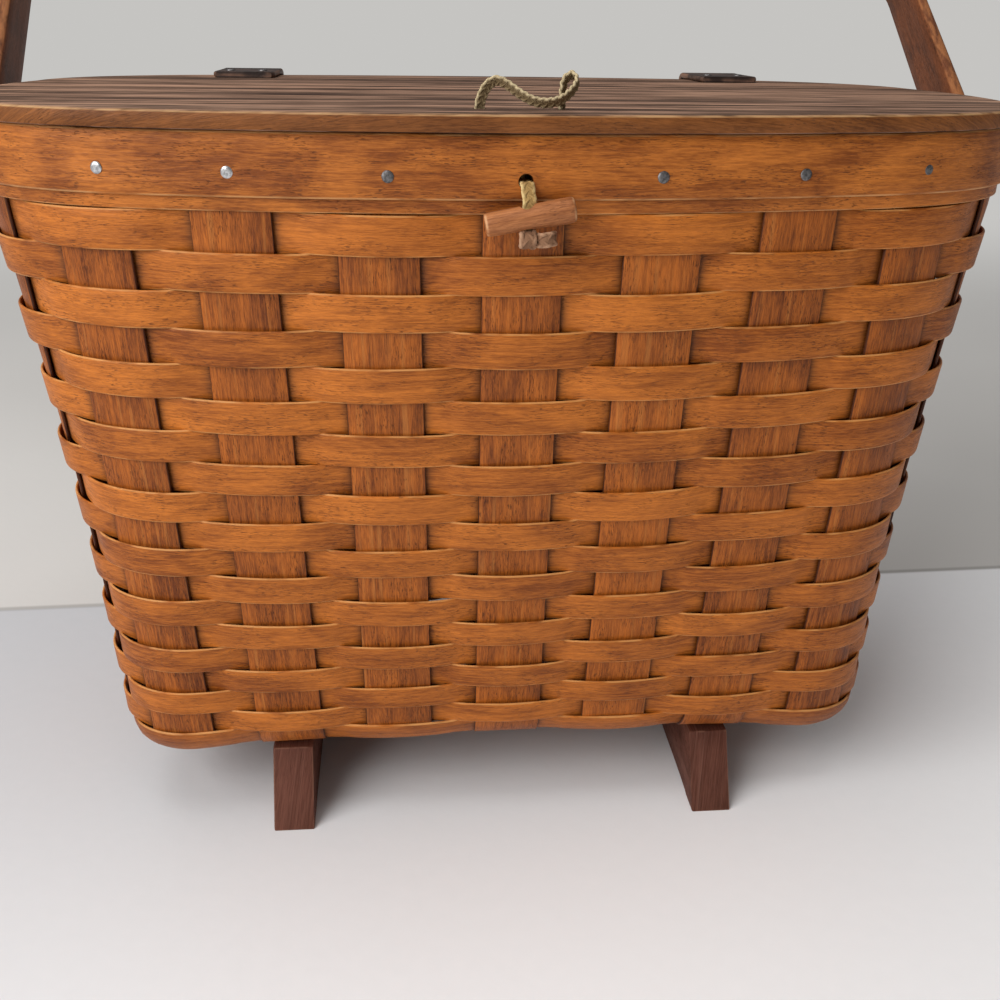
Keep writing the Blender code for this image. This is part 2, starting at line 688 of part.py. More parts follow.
def handle_line():
    """Half of the handle's middle line in its own plane, from a pin up to the flat top.

    Each entry is the place out from the middle, the place up from the pins, and the outward
    normal in that plane.
    """
    foot = HANDLE_INNER + HANDLE_FOOT_THICKNESS / 2
    straight = HANDLE_WIDTH / 2
    lean = math.atan(HANDLE_FLARE)
    bend_low = HANDLE_REACH - HANDLE_BEND * (1 + math.sin(lean))
    points = [(foot, 0.0, (1.0, 0.0)), (foot, straight, (math.cos(lean / 2), -math.sin(lean / 2)))]
    for up in np.linspace(straight, bend_low, 4)[1:]:
        points.append((foot + HANDLE_FLARE * (up - straight), up, (math.cos(lean), -math.sin(lean))))
    centre_out = points[-1][0] - HANDLE_BEND * math.cos(lean)
    centre_up = bend_low + HANDLE_BEND * math.sin(lean)
    for angle in np.linspace(-lean, math.pi / 2, 9)[1:]:
        normal = (math.cos(angle), math.sin(angle))
        points.append((centre_out + HANDLE_BEND * normal[0], centre_up + HANDLE_BEND * normal[1], normal))
    return points


def handle_section(half_wide, half_thick):
    """The band's cross-section with its corners taken off, as width and thickness pairs."""
    cut = min(HANDLE_EDGE, half_wide / 2, half_thick / 2)
    return [(half_wide, half_thick - cut), (half_wide - cut, half_thick), (cut - half_wide, half_thick),
            (-half_wide, half_thick - cut), (-half_wide, cut - half_thick), (cut - half_wide, -half_thick),
            (half_wide - cut, -half_thick), (half_wide, cut - half_thick)]


def handle():
    """The bent handle: one band lofted from pin to pin, with rounded feet, leaning back at rest."""
    radius = HANDLE_WIDTH / 2
    foot = HANDLE_FOOT_THICKNESS / 2
    line = handle_line()
    stations = []
    for angle in FOOT_ROUND_ANGLES:
        stations.append((line[0][0], -radius * math.cos(angle), line[0][2], radius * math.sin(angle), foot))
    for out, up, normal in line:
        thick = mixed_by(HANDLE_FOOT_THICKNESS, HANDLE_TOP_THICKNESS, up / HANDLE_REACH)
        stations.append((out, up, normal, radius, thick / 2))
    mirrored = [(-out, up, (-normal[0], normal[1]), wide, thick)
                for out, up, normal, wide, thick in reversed(stations)]
    pin = Vector((0.0, 0.0, PIN_HEIGHT))
    up_way = Vector((0.0, math.sin(HANDLE_LEAN), math.cos(HANDLE_LEAN)))
    wide_way = Vector((0.0, math.cos(HANDLE_LEAN), -math.sin(HANDLE_LEAN)))
    side_way = Vector((1.0, 0.0, 0.0))
    work = bmesh.new()
    rings = []
    for out, up, normal, half_wide, half_thick in stations + mirrored:
        outward = side_way * normal[0] + up_way * normal[1]
        centre = pin + side_way * out + up_way * up
        rings.append([work.verts.new(centre + wide_way * w + outward * t)
                      for w, t in handle_section(half_wide, half_thick)])
    for before, after in zip(rings, rings[1:]):
        for index in range(len(before)):
            beside = (index + 1) % len(before)
            work.faces.new((before[index], before[beside], after[beside], after[index]))
    work.faces.new(rings[0])
    work.faces.new(rings[-1])
    bmesh.ops.recalc_face_normals(work, faces=work.faces)
    mesh = bpy.data.meshes.new("handle")
    work.to_mesh(mesh)
    work.free()
    bow = new_object("handle", mesh, "handle", pin)
    for turn in (-1, 1):
        drill(bow, (turn * (HANDLE_INNER - OVERRUN), 0.0, PIN_HEIGHT), (turn, 0, 0),
              HANDLE_FOOT_THICKNESS + 2 * OVERRUN, PIN_DIAMETER + 2 * PIN_CLEARANCE, ROUND_SIDES)


def handle_pins():
    """A rivet through the rim at each end, and the washer that spaces the handle off the rim."""
    inside = TOP_HALF_LENGTH + TOP_END_BOW + INNER_FAR
    outside = HANDLE_INNER + HANDLE_FOOT_THICKNESS + TOUCH_GAP
    length = outside - inside + 2 * TOUCH_GAP
    shank = PIN_DIAMETER / 2
    head = PIN_HEAD_DIAMETER / 2
    for name, turn in (("left", -1), ("right", 1)):
        profile = (
            (-PIN_HEAD_THICKNESS, head / 2), (-PIN_HEAD_THICKNESS / 2, head), (0.0, head),
            (0.0, shank), (length, shank), (length, head),
            (length + PIN_HEAD_THICKNESS / 2, head), (length + PIN_HEAD_THICKNESS, head / 2),
        )
        start = (turn * (inside - 2 * TOUCH_GAP), 0.0, PIN_HEIGHT)
        turned(f"handle_pin_{name}", "steel", profile, start, (turn, 0, 0))
        start = (turn * (END_FACE + TOUCH_GAP), 0.0, PIN_HEIGHT)
        disc = turned(f"handle_washer_{name}", "leather", ((0.0, WASHER_DIAMETER / 2),
                      (WASHER_THICKNESS, WASHER_DIAMETER / 2)), start, (turn, 0, 0))
        drill(disc, (turn * END_FACE, 0.0, PIN_HEIGHT), (turn, 0, 0),
              WASHER_THICKNESS + 2 * OVERRUN, PIN_DIAMETER + 2 * PIN_CLEARANCE, ROUND_SIDES)


def runners():
    """Two boards on edge under the bottom: raked ends, flat pads and a shallow arch between."""
    outer_side = RUNNER_OFFSET + RUNNER_THICKNESS / 2
    stack = (SPLINT_THICKNESS + WEAVE_GAP) / 2 + SPLINT_THICKNESS / 2 + TOUCH_GAP
    top = bottom_height(outer_side) - stack
    reach = RUNNER_HALF_LENGTH
    arch = reach - RUNNER_PAD
    under = [(arch * math.cos(a), RUNNER_ARCH * math.sin(a)) for a in np.linspace(0.0, math.pi, 13)]
    outline = [(-reach, 0.0), *[(-y, z) for y, z in under], (reach, 0.0),
               (reach - RUNNER_RAKE_SHARE * top, top), (RUNNER_RAKE_SHARE * top - reach, top)]
    for name, turn in (("left", -1), ("right", 1)):
        middle = turn * RUNNER_OFFSET
        prism(f"runner_{name}", "runner", outline, 0, middle - RUNNER_THICKNESS / 2,
              middle + RUNNER_THICKNESS / 2, RUNNER_EDGE)


def knot_profile():
    """A stopper knot drawn up tight, as places along its axis and radii."""
    half = KNOT_HEIGHT / 2
    wide = KNOT_DIAMETER / 2
    shoulder = wide * KNOT_SHOULDER_SHARE
    return ((-half, wide / 2), (-half / 2, shoulder), (0.0, wide), (half / 2, shoulder), (half, wide / 2))


def loop():
    """The closing loop: a cord whose two ends pass down through the lid to a knot under it."""
    stretch = LOOP_SPACING / (LOOP_ROUTE[-1][0] - LOOP_ROUTE[0][0])
    hinge = (0.0, HINGE_Y, HINGE_Z)
    route = [Vector((x * stretch, LOOP_Y + y, LID_TOP + z)) for x, y, z in LOOP_ROUTE]
    for end in (0, -1):
        route[end].z = LID_LOW - TOUCH_GAP
    tube("loop_cord", "cord", route, LOOP_CORD_DIAMETER, 40, hinge)
    for name, turn in (("left", -1), ("right", 1)):
        centre = (turn * LOOP_SPACING / 2, LOOP_Y, LID_LOW - 2 * TOUCH_GAP - KNOT_HEIGHT / 2)
        turned(f"loop_knot_{name}", "cord", knot_profile(), centre, (0, 0, 1), SMALL_ROUND_SIDES, hinge)


def toggle():
    """The peg on its short cord, hanging from a hole in the front of the rim."""
    radius = TOGGLE_CORD_DIAMETER / 2
    mouth = -FRONT_FACE - TOUCH_GAP
    swing = Vector((0.0, mouth - TOUCH_GAP - radius, TOGGLE_HOLE_HEIGHT))
    inside = -TOP_HALF_DEPTH - INNER_FAR + TOUCH_GAP
    anchor_route = [(0.0, inside, TOGGLE_HOLE_HEIGHT), (0.0, (inside + mouth) / 2, TOGGLE_HOLE_HEIGHT),
                    (0.0, mouth, TOGGLE_HOLE_HEIGHT)]
    tube("toggle_cord_anchor", "cord", anchor_route, TOGGLE_CORD_DIAMETER, 5)
    turned("toggle_anchor_knot", "cord", knot_profile(),
           (0.0, inside + TOUCH_GAP + KNOT_HEIGHT / 2, TOGGLE_HOLE_HEIGHT), (0, 1, 0), SMALL_ROUND_SIDES)
    peg_y = -FRONT_FACE - 2 * TOUCH_GAP - PEG_DIAMETER / 2
    peg_z = TOGGLE_HOLE_HEIGHT - PEG_DROP
    knot_top = peg_z - PEG_DIAMETER / 2 - 2 * TOUCH_GAP
    knot_y = peg_y - TOUCH_GAP
    route = [(0.0, swing.y, swing.z), (0.0, swing.y - TOUCH_GAP, swing.z - radius),
             (0.0, peg_y, peg_z + PEG_DIAMETER / 2 + TOUCH_GAP), (0.0, peg_y, peg_z),
             (0.0, peg_y, knot_top + TOUCH_GAP)]
    tube("toggle_cord", "cord", route, TOGGLE_CORD_DIAMETER, 14, swing)
    along = Vector((math.cos(PEG_TILT), 0.0, math.sin(PEG_TILT)))
    start = Vector((0.0, peg_y, peg_z)) - along * PEG_LENGTH / 2
    rim_radius = PEG_DIAMETER / 2 - PEG_CHAMFER
    profile = ((0.0, rim_radius), (PEG_CHAMFER, PEG_DIAMETER / 2),
               (PEG_LENGTH - PEG_CHAMFER, PEG_DIAMETER / 2), (PEG_LENGTH, rim_radius))
    peg = turned("toggle_peg", "peg", profile, start, along, ROUND_SIDES, swing)
    drill(peg, (0.0, peg_y, peg_z - PEG_DIAMETER), (0, 0, 1), 2 * PEG_DIAMETER,
          TOGGLE_CORD_DIAMETER + 4 * TOUCH_GAP)
    half = TOGGLE_KNOT_WIDTH / 2
    tall = TOGGLE_KNOT_HEIGHT / 2
    lobes = []
    for angle in np.linspace(0.0, math.pi, 8):
        lobes.append((-half * math.cos(angle), max(tall * math.sin(angle), tall / 3)))
    knot = turned("toggle_knot", "cord", lobes,
                  (TOGGLE_KNOT_SIDE, knot_y, knot_top - tall), (1, 0, 0), SMALL_ROUND_SIDES, swing)
    knot.scale = (1.0, TOGGLE_KNOT_DEPTH / TOGGLE_KNOT_HEIGHT, 1.0)


def uprights():
    """Seven splints front to back and four end to end, plaited where they cross below."""
    for index, step in enumerate(range(-FRONT_COUNT, FRONT_COUNT + 1)):
        strip(f"upright_front_{index + 1}", 0, step, index % 2)
    for index, share in enumerate(END_STEP_SHARES):
        strip(f"upright_end_{index + 1}", 1, share, (index + 1) % 2)


def stand_on_origin():
    """Moves the whole model so that the middle of its outline, cords left out, is over the origin."""
    bpy.context.view_layer.update()
    loose = ("loop_", "toggle_")
    low = []
    high = []
    for piece in bpy.data.objects:
        if piece.type != "MESH" or piece.hide_render or piece.name.startswith(loose):
            continue
        places = [(piece.matrix_world @ v.co).y for v in piece.data.vertices]
        low.append(min(places))
        high.append(max(places))
    middle = (min(low) + max(high)) / 2
    for piece in bpy.data.objects:
        piece.location.y -= middle
    print(f"moved by {-middle * 1000:.3f} mm along Y")


def main():
    clear_scene()
    uprights()
    for row in range(ROWS):
        weaver(row)
    rim()
    lid()
    strap("left", LEFT_STRAP_PLACE)
    strap("right", RIGHT_STRAP_PLACE)
    handle()
    handle_pins()
    runners()
    loop()
    toggle()
    stand_on_origin()


main()
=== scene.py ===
# %% [markdown]
# A lidded basket woven from flat wooden splints. The frame holds the basket's rigid pieces at
# their real sizes. This lesson dresses them: each splint is swept again as a fine strip that
# bulges over the uprights, with rounded edges and its own run of grain. The first hoop gives
# the middle of the basket's depth.

import math

import bmesh
import bpy
import numpy as np
from mathutils import Matrix, Vector, kdtree, noise

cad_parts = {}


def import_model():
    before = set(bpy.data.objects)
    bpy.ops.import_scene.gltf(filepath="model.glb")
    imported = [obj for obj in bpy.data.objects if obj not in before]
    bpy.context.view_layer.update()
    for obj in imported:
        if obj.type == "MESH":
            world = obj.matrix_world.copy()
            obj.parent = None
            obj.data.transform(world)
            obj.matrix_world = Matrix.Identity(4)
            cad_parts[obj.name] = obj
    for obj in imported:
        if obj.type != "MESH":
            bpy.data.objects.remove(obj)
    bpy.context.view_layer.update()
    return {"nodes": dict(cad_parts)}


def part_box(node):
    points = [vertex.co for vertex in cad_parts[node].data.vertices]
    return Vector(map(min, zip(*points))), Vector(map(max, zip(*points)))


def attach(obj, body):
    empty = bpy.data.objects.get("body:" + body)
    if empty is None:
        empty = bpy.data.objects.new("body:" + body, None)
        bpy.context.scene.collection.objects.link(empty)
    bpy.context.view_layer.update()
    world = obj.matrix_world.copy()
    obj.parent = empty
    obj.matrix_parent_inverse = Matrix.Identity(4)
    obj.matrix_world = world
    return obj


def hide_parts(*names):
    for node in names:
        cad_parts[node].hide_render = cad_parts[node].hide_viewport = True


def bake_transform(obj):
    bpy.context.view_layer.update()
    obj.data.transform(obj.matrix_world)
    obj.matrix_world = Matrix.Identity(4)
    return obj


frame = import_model()
hoop_low, hoop_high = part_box("weaver_01")
MIDDLE = (hoop_low[1] + hoop_high[1]) / 2
print("basket's middle line at y =", round(MIDDLE, 5))

# %% [markdown]
# The camera comes first, so that every piece can be compared with the picture as it is made. It
# could be placed by eye, but its place was found by fitting the basket's measured outline to the
# photograph, so it is written as a position and three turns: down, towards the right, and a
# little roll. Blender's camera looks along its own -Z, so three directions make its matrix.

# %% Camera
CAMERA_PLACE = Vector((-0.0457, MIDDLE - 0.5600, 0.3737))
DOWN, TO_THE_RIGHT, ROLL = 0.4126, 0.0906, 0.0145
SENSOR_WIDTH = 36
FOCAL_SHARE = 1.0916
NEAREST_SEEN = 0.01


def look(place, down, yaw, roll):
    ahead = math.cos(down)
    forward = Vector((math.sin(yaw) * ahead, math.cos(yaw) * ahead, -math.sin(down)))
    level = Vector((math.cos(yaw), -math.sin(yaw), 0.0))
    upward = level.cross(forward)
    right = level * math.cos(roll) + upward * math.sin(roll)
    up = upward * math.cos(roll) - level * math.sin(roll)
    lens = bpy.data.cameras.new("camera")
    lens.sensor_fit = "HORIZONTAL"
    lens.sensor_width = SENSOR_WIDTH
    lens.lens = SENSOR_WIDTH * FOCAL_SHARE
    lens.clip_start = NEAREST_SEEN
    made = bpy.data.objects.new("camera", lens)
    turn = Matrix((right, up, -forward)).transposed().to_4x4()
    made.matrix_world = Matrix.Translation(place) @ turn
    bpy.context.scene.collection.objects.link(made)
    bpy.context.scene.camera = made


look(CAMERA_PLACE, DOWN, TO_THE_RIGHT, ROLL)
print("camera looks down by", round(math.degrees(DOWN), 1), "degrees")

# %% [markdown]
# A finish in Blender is a tree of nodes. Each node could be added and linked by hand, which takes
# many lines and hides the sum behind them. Here a small class wraps a socket, so that an
# expression such as `1 - mask * 0.4` adds its own Math nodes.

# %% Socket sums
class Sum:
    def __init__(self, finish, socket):
        self.finish = finish
        self.socket = socket

    def apply(self, operation, first, second, clamp=False):
        made = self.finish.tree.nodes.new("ShaderNodeMath")
        made.operation = operation
        made.use_clamp = clamp
        for place, value in enumerate((first, second)):
            self.finish.feed(made.inputs[place], value)
        return Sum(self.finish, made.outputs[0])

    def __add__(self, other):
        return self.apply("ADD", self, other)

    def __radd__(self, other):
        return self.apply("ADD", other, self)

    def __sub__(self, other):
        return self.apply("SUBTRACT", self, other)

    def __rsub__(self, other):
        return self.apply("SUBTRACT", other, self)

    def __mul__(self, other):
        return self.apply("MULTIPLY", self, other)

    def __rmul__(self, other):
        return self.apply("MULTIPLY", other, self)

    def __pow__(self, other):
        return self.apply("POWER", self, other)

    def clipped(self):
        return self.apply("ADD", self, 0.0, clamp=True)

    def band(self, low, high):
        """0 below low, 1 above high, smooth between."""
        return self.finish.node("ShaderNodeMapRange", {"interpolation_type": "SMOOTHSTEP"},
                                {"Value": self, "From Min": low, "From Max": high})


print("socket sums ready")

# %% [markdown]
# One method adds every other node: it takes the node's type, its settings, and the values or
# links of its sockets. The rest are short names for the nodes that these finishes use most.

# %% Finish helper
class Finish:
    """A material whose nodes are added by plain calls."""

    def __init__(self, name, roughness=0.5, metallic=0.0, specular=0.5):
        self.material = bpy.data.materials.new(name)
        self.material.use_nodes = True
        self.tree = self.material.node_tree
        self.shader = self.tree.nodes["Principled BSDF"]
        self.shader.inputs["Roughness"].default_value = roughness
        self.shader.inputs["Metallic"].default_value = metallic
        self.shader.inputs["Specular IOR Level"].default_value = specular

    def feed(self, socket, value):
        if isinstance(value, Sum):
            self.tree.links.new(value.socket, socket)
        elif isinstance(value, tuple) and len(value) == 3 and socket.type == "RGBA":
            socket.default_value = (*value, 1.0)
        else:
            socket.default_value = value

    def node(self, kind, settings=None, inputs=None, output=0):
        made = self.tree.nodes.new(kind)
        for name, value in (settings or {}).items():
            setattr(made, name, value)
        for name, value in (inputs or {}).items():
            self.feed(made.inputs[name], value)
        return Sum(self, made.outputs[output])

    def mix(self, share, first, second):
        return self.node("ShaderNodeMix", {"data_type": "RGBA"},
                         {0: share, 6: first, 7: second}, output=2)

    def vector(self, x, y, z):
        return self.node("ShaderNodeCombineXYZ", None, {"X": x, "Y": y, "Z": z})

    def attribute(self, name, output=1):
        return self.node("ShaderNodeAttribute", {"attribute_name": name}, None, output)

    def parts(self, source):
        made = self.tree.nodes.new("ShaderNodeSeparateXYZ")
        self.feed(made.inputs[0], source)
        return [Sum(self, socket) for socket in made.outputs]

    def noise(self, place, scale=1.0, detail=2.0, roughness=0.5, distortion=0.0):
        return self.node("ShaderNodeTexNoise", None,
                         {"Vector": place, "Scale": scale, "Detail": detail,
                          "Roughness": roughness, "Distortion": distortion})

    def bump(self, height, distance, strength=1.0):
        normal = self.node("ShaderNodeBump", None,
                           {"Height": height, "Distance": distance, "Strength": strength})
        self.feed(self.shader.inputs["Normal"], normal)

    def colour(self, value):
        self.feed(self.shader.inputs["Base Color"], value)

    def rough(self, value):
        self.feed(self.shader.inputs["Roughness"], value)


print("finish helper ready")

# %% [markdown]
# Stained ash splint has three scales of detail: long fibres that run with the strip, short dark
# pores, and slow patches where the stain took deeper. A wood texture in space would cut across
# bent strips, so each mesh carries its own coordinates in an attribute called grain: metres
# along the strip, metres across it, and the strip's number, which gives every strip its own
# pattern. A second attribute is 1 on the arrises, which take the colour of rubbed stain and of
# painted edge light and shade, and below 0 where a hoop dives behind an upright, where it paints
# shade into the crevice.

# %% Splint finish
# Painted shade: the near black brown that a hoop takes in the crevices where it dives behind an upright.
PAINTED_SHADE_COLOUR = (0.030, 0.010, 0.005)


def splint(name, pale, deep, pore, wear_and_painted_light, fibre=1.0, pore_share=0.5, patch=1.0, roughness=0.42,
           streak=None, wear_and_light_share=0.8, scale=1.0, stretch=1.0, solid=0.0, specular=0.24):
    made = Finish(name, roughness, specular=specular)
    along, across, number = made.parts(made.attribute("grain"))
    shift = number * 7.13

    def marks(per_metre_along, per_metre_across, step, detail, rough=0.5, bend=0.0):
        place = made.vector(along * per_metre_along + shift, across * per_metre_across, number * step)
        return made.noise(place, 1.0, detail, rough, bend)

    fine = marks(210 * scale / stretch, 2100 * scale, 3.1, 3.0, 0.6, 0.4)
    threads = marks(34 * scale / stretch, 640 * scale, 1.7, 4.0, 0.6, 0.7)
    patches = marks(21, 46, 2.3, 3.0, 0.55, 0.9)
    tone = made.noise(made.vector(number * 9.7, number * 4.1, 0.5), 1.0, 0.0)
    depth = (fine.band(0.36, 0.64) * (0.34 * fibre) + threads.band(0.34, 0.66) * (0.36 * fibre)
             + patches.band(0.32, 0.70) * (0.46 * patch) + (tone - 0.5) * 0.7 - 0.08)
    body = made.mix(depth.clipped(), pale, deep)
    if streak:
        lines = marks(9 * scale / stretch, 300 * scale, 1.0, 2.0, 0.5, 0.8)
        body = made.mix(lines.band(0.56, 0.72) * 0.4, body, streak)
    density = marks(60, 130, 5.3, 2.0).band(0.40, 0.62)
    pores = marks(330 * scale, 2300 * scale, 1.0, 1.0, 0.5, 0.2).band(0.58, 0.67) * density * pore_share
    body = made.mix(pores, body, pore)
    # The arrises take the edge colour: rubbed stain, and also painted light, pale on the weavers and the rim
    # and near black on the uprights as painted shade.
    wear_and_light_mask = made.attribute("wear_and_painted_light", 2)
    breaks = marks(60, 200, 1.0, 2.0).band(0.34, 0.6)
    body = made.mix(wear_and_light_mask.band(0.25, 0.85) * (breaks * (1 - solid) + solid) * wear_and_light_share, body, wear_and_painted_light)
    # Painted shade: where the edge mark is below 0, the wood turns towards the dark crevice colour.
    made.colour(made.mix((wear_and_light_mask * -1.0).band(0.0, 1.0) * 0.75, body, PAINTED_SHADE_COLOUR))
    made.rough(roughness + 0.18 * fine - 0.10 * patches + 0.12 * pores)
    made.bump(fine * 0.7 + threads * 0.5 - pores * 0.8, 0.00030, 0.8)
    return made.material


print("splint finish ready")

# %% [markdown]
# The same finish serves all the wood, with other colours and other shares of fibre, pore and
# patch. The lid's board is dry, so its fibres are stronger and longer and it shines less. The
# handle and the runners are darker, and the peg is bare wood.

# %% Woods of the basket
# The weavers' pale arrises are rubbed stain and also a painted highlight on their edges.
WEAVER = splint("weaver_splint", (0.57, 0.170, 0.022), (0.190, 0.044, 0.004), (0.08, 0.020, 0.004),
                (0.66, 0.31, 0.10), pore_share=0.65)
# The uprights' arrises are near black: painted shade on the edges of the strips.
UPRIGHT = splint("upright_splint", (0.46, 0.125, 0.015), (0.130, 0.029, 0.004), (0.055, 0.014, 0.003),
                 (0.050, 0.013, 0.004), fibre=1.1, pore_share=0.7, streak=(0.52, 0.19, 0.04),
                 wear_and_light_share=1.0, solid=0.85)
# The rim's pale arrises are rubbed stain and also a painted highlight.
RIM = splint("rim_splint", (0.56, 0.175, 0.026), (0.195, 0.048, 0.006), (0.08, 0.020, 0.004),
             (0.64, 0.33, 0.13), pore_share=0.7, patch=1.35, solid=0.2)
LID = splint("lid_wood", (0.54, 0.318, 0.212), (0.040, 0.020, 0.013), (0.018, 0.009, 0.006),
             (0.42, 0.24, 0.12), fibre=1.6, pore_share=0.4, roughness=0.62, patch=0.4,
             streak=(0.38, 0.25, 0.18), scale=0.16, stretch=2.2, specular=0.08)
LID_EDGE = splint("lid_edge_wood", (0.29, 0.100, 0.024), (0.11, 0.034, 0.007), (0.05, 0.016, 0.006),
                  (0.56, 0.33, 0.15), pore_share=0.5, patch=0.9, solid=0.3, specular=0.2)
HANDLE = splint("handle_wood", (0.195, 0.062, 0.023), (0.060, 0.018, 0.006), (0.022, 0.007, 0.003),
                (0.34, 0.13, 0.045), fibre=1.1, pore_share=0.5, roughness=0.5, specular=0.14)
RUNNER = splint("runner_wood", (0.150, 0.056, 0.037), (0.065, 0.021, 0.012), (0.030, 0.010, 0.007),
                (0.28, 0.14, 0.09), fibre=1.1, pore_share=0.3, roughness=0.6, streak=(0.19, 0.085, 0.06),
                wear_and_light_share=0.5, scale=1.1, patch=0.6, specular=0.14)
PEG = splint("peg_wood", (0.50, 0.195, 0.070), (0.23, 0.075, 0.024), (0.10, 0.030, 0.012),
             (0.62, 0.34, 0.17), fibre=1.2, pore_share=0.6)
WOODS = (WEAVER, UPRIGHT, RIM, LID, LID_EDGE, HANDLE, RUNNER, PEG)
print("woods:", ", ".join(wood.name for wood in WOODS))

# %% [markdown]
# The straps are dark leather. A smooth brown would look like plastic, so a soft pebble goes in
# the bump, the brown is uneven, and the cut edges are paler where they are rubbed.

# %% Leather
def leather():
    made = Finish("strap_leather", 0.55, specular=0.35)
    place = made.node("ShaderNodeTexCoord", None, None, 3)
    pebble = made.node("ShaderNodeTexVoronoi", {"feature": "SMOOTH_F1"},
                       {"Vector": place, "Scale": 900.0})
    slow = made.noise(place, 60.0, 3.0)
    body = made.mix(slow.band(0.35, 0.7), (0.020, 0.011, 0.009), (0.075, 0.045, 0.036))
    wear_and_light_mask = made.attribute("wear_and_painted_light", 2).band(0.3, 0.9)
    made.colour(made.mix(wear_and_light_mask * slow.band(0.3, 0.6) * 0.8, body, (0.22, 0.115, 0.072)))
    made.rough(0.42 + 0.25 * slow)
    made.bump(pebble * 0.5 + slow, 0.0004, 0.5)
    return made.material


LEATHER = leather()
print("made", LEATHER.name)

# %% [markdown]
# The cords are undyed cotton. Their strands are real, and the colour follows them with painted
# light: the crowns and the rails are painted pale as a highlight, and the grooves between the
# strands darker as shade. The toggle's cord is the palest, its last knot is the darkest, and the
# loop lies between.

# %% Cotton
def cotton(name, pale, groove):
    made = Finish(name, 0.92, specular=0.15)
    place = made.node("ShaderNodeTexCoord", None, None, 3)
    fuzz = made.noise(place, 2600.0, 2.0)
    dirt_and_shade = made.noise(place, 210.0, 2.0)
    # Painted light: the crowns and rails are painted pale, and the grooves between strands darker as shade.
    crown = made.attribute("wear_and_painted_light", 2).band(0.15, 0.8)
    body = made.mix(crown, groove, pale)
    made.colour(made.mix(dirt_and_shade.band(0.4, 0.75) * 0.35, body, groove))
    made.bump(fuzz, 0.0003, 0.8)
    return made.material


STRAW = cotton("toggle_cotton", (0.70, 0.53, 0.25), (0.36, 0.22, 0.08))
TAN = cotton("loop_cotton", (0.60, 0.49, 0.30), (0.22, 0.155, 0.080))
KNOT = cotton("knot_cotton", (0.52, 0.31, 0.19), (0.24, 0.125, 0.070))
print("cottons:", STRAW.name, TAN.name, KNOT.name)

# %% [markdown]
# The small heads are steel that has tarnished unevenly: slow noise darkens the metal and makes
# it duller in patches. A few are still bright, so the finish takes a shade and a roughness.

# %% Metal
def metal(name, shade, roughness):
    made = Finish(name, roughness, metallic=0.9)
    place = made.node("ShaderNodeTexCoord", None, None, 3)
    tarnish = made.noise(place, 900.0, 3.0)
    dull = tuple(value * 0.45 for value in shade)
    made.colour(made.mix(tarnish.band(0.35, 0.7), shade, dull))
    made.rough(roughness + 0.3 * (tarnish - 0.5))
    return made.material


NAIL_BRIGHT = metal("nail_bright", (0.62, 0.62, 0.63), 0.32)
NAIL_DARK = metal("nail_dark", (0.20, 0.19, 0.19), 0.45)
print("materials made:", len(bpy.data.materials))

# %% [markdown]
# Every piece ends in the same steps: a mesh from points and faces, its two attributes, outward
# normals, a material, smooth shading with sharp arrises, and the body that it rides on.

# %% Build a piece
def build(name, points, faces, grain, wear_and_painted_light, material, body, replaced=(), smooth=50):
    mesh = bpy.data.meshes.new(name)
    mesh.from_pydata([tuple(p) for p in points], [], faces)
    for label, kind, values in (("grain", "FLOAT_VECTOR", grain), ("wear_and_painted_light", "FLOAT", wear_and_painted_light)):
        layer = mesh.attributes.new(label, kind, "POINT")
        flat = np.asarray(values, dtype=np.float32).ravel()
        layer.data.foreach_set("vector" if kind == "FLOAT_VECTOR" else "value", flat)
    work = bmesh.new()
    work.from_mesh(mesh)
    bmesh.ops.recalc_face_normals(work, faces=work.faces)
    work.to_mesh(mesh)
    work.free()
    mesh.materials.append(material)
    mesh.shade_smooth()
    mesh.set_sharp_from_angle(angle=math.radians(smooth))
    made = bpy.data.objects.new(name, mesh)
    bpy.context.scene.collection.objects.link(made)
    if body:
        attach(made, body)
    if replaced:
        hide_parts(*replaced)
    return made


print("piece builder ready")

# %% [markdown]
# Most pieces are loops of points in a row, as the ribs of a boat are. The faces between them
# follow one rule: four corners from two neighbouring loops, and a cap at each end of an open row.

# %% Faces between loops
def loop_faces(rows, columns, closed):
    """Quads between neighbouring section loops, and caps at a strip's two ends."""
    faces = []
    for row in range(rows if closed else rows - 1):
        after = (row + 1) % rows
        for column in range(columns):
            beside = (column + 1) % columns
            faces.append((row * columns + column, row * columns + beside,
                          after * columns + beside, after * columns + column))
    if not closed:
        faces.append(tuple(range(columns)))
        faces.append(tuple((rows - 1) * columns + column for column in range(columns)))
    return faces


print("faces of a box from two loops of four:", len(loop_faces(2, 4, False)))

# %% [markdown]
# A strip could be a curve with a bevel, but such a curve has no say in how its width leans at a
# corner of the basket. So each strip is swept from a grid: three lines of points on its middle
# surface, the outward direction at each, and a section with places across and heights off it.

# %% Sweep a strip
def section(half, thick, edge):
    """A flat strip's section with rounded arrises: share across from -1 to 1, height, and an edge
    mark that the finishes colour as rubbed stain and painted edge light and shade.
    """
    slim = thick / 2
    rounding = edge / half
    face = [(-1, slim * 0.25, 1.0), (-1 + rounding * 0.35, slim * 0.75, 0.9), (-1 + rounding, slim, 0.25),
            (-0.5, slim, 0.0), (0.0, slim, 0.0), (0.5, slim, 0.0),
            (1 - rounding, slim, 0.25), (1 - rounding * 0.35, slim * 0.75, 0.9), (1, slim * 0.25, 1.0)]
    return face + [(share, -height, edge_mark) for share, height, edge_mark in reversed(face)]


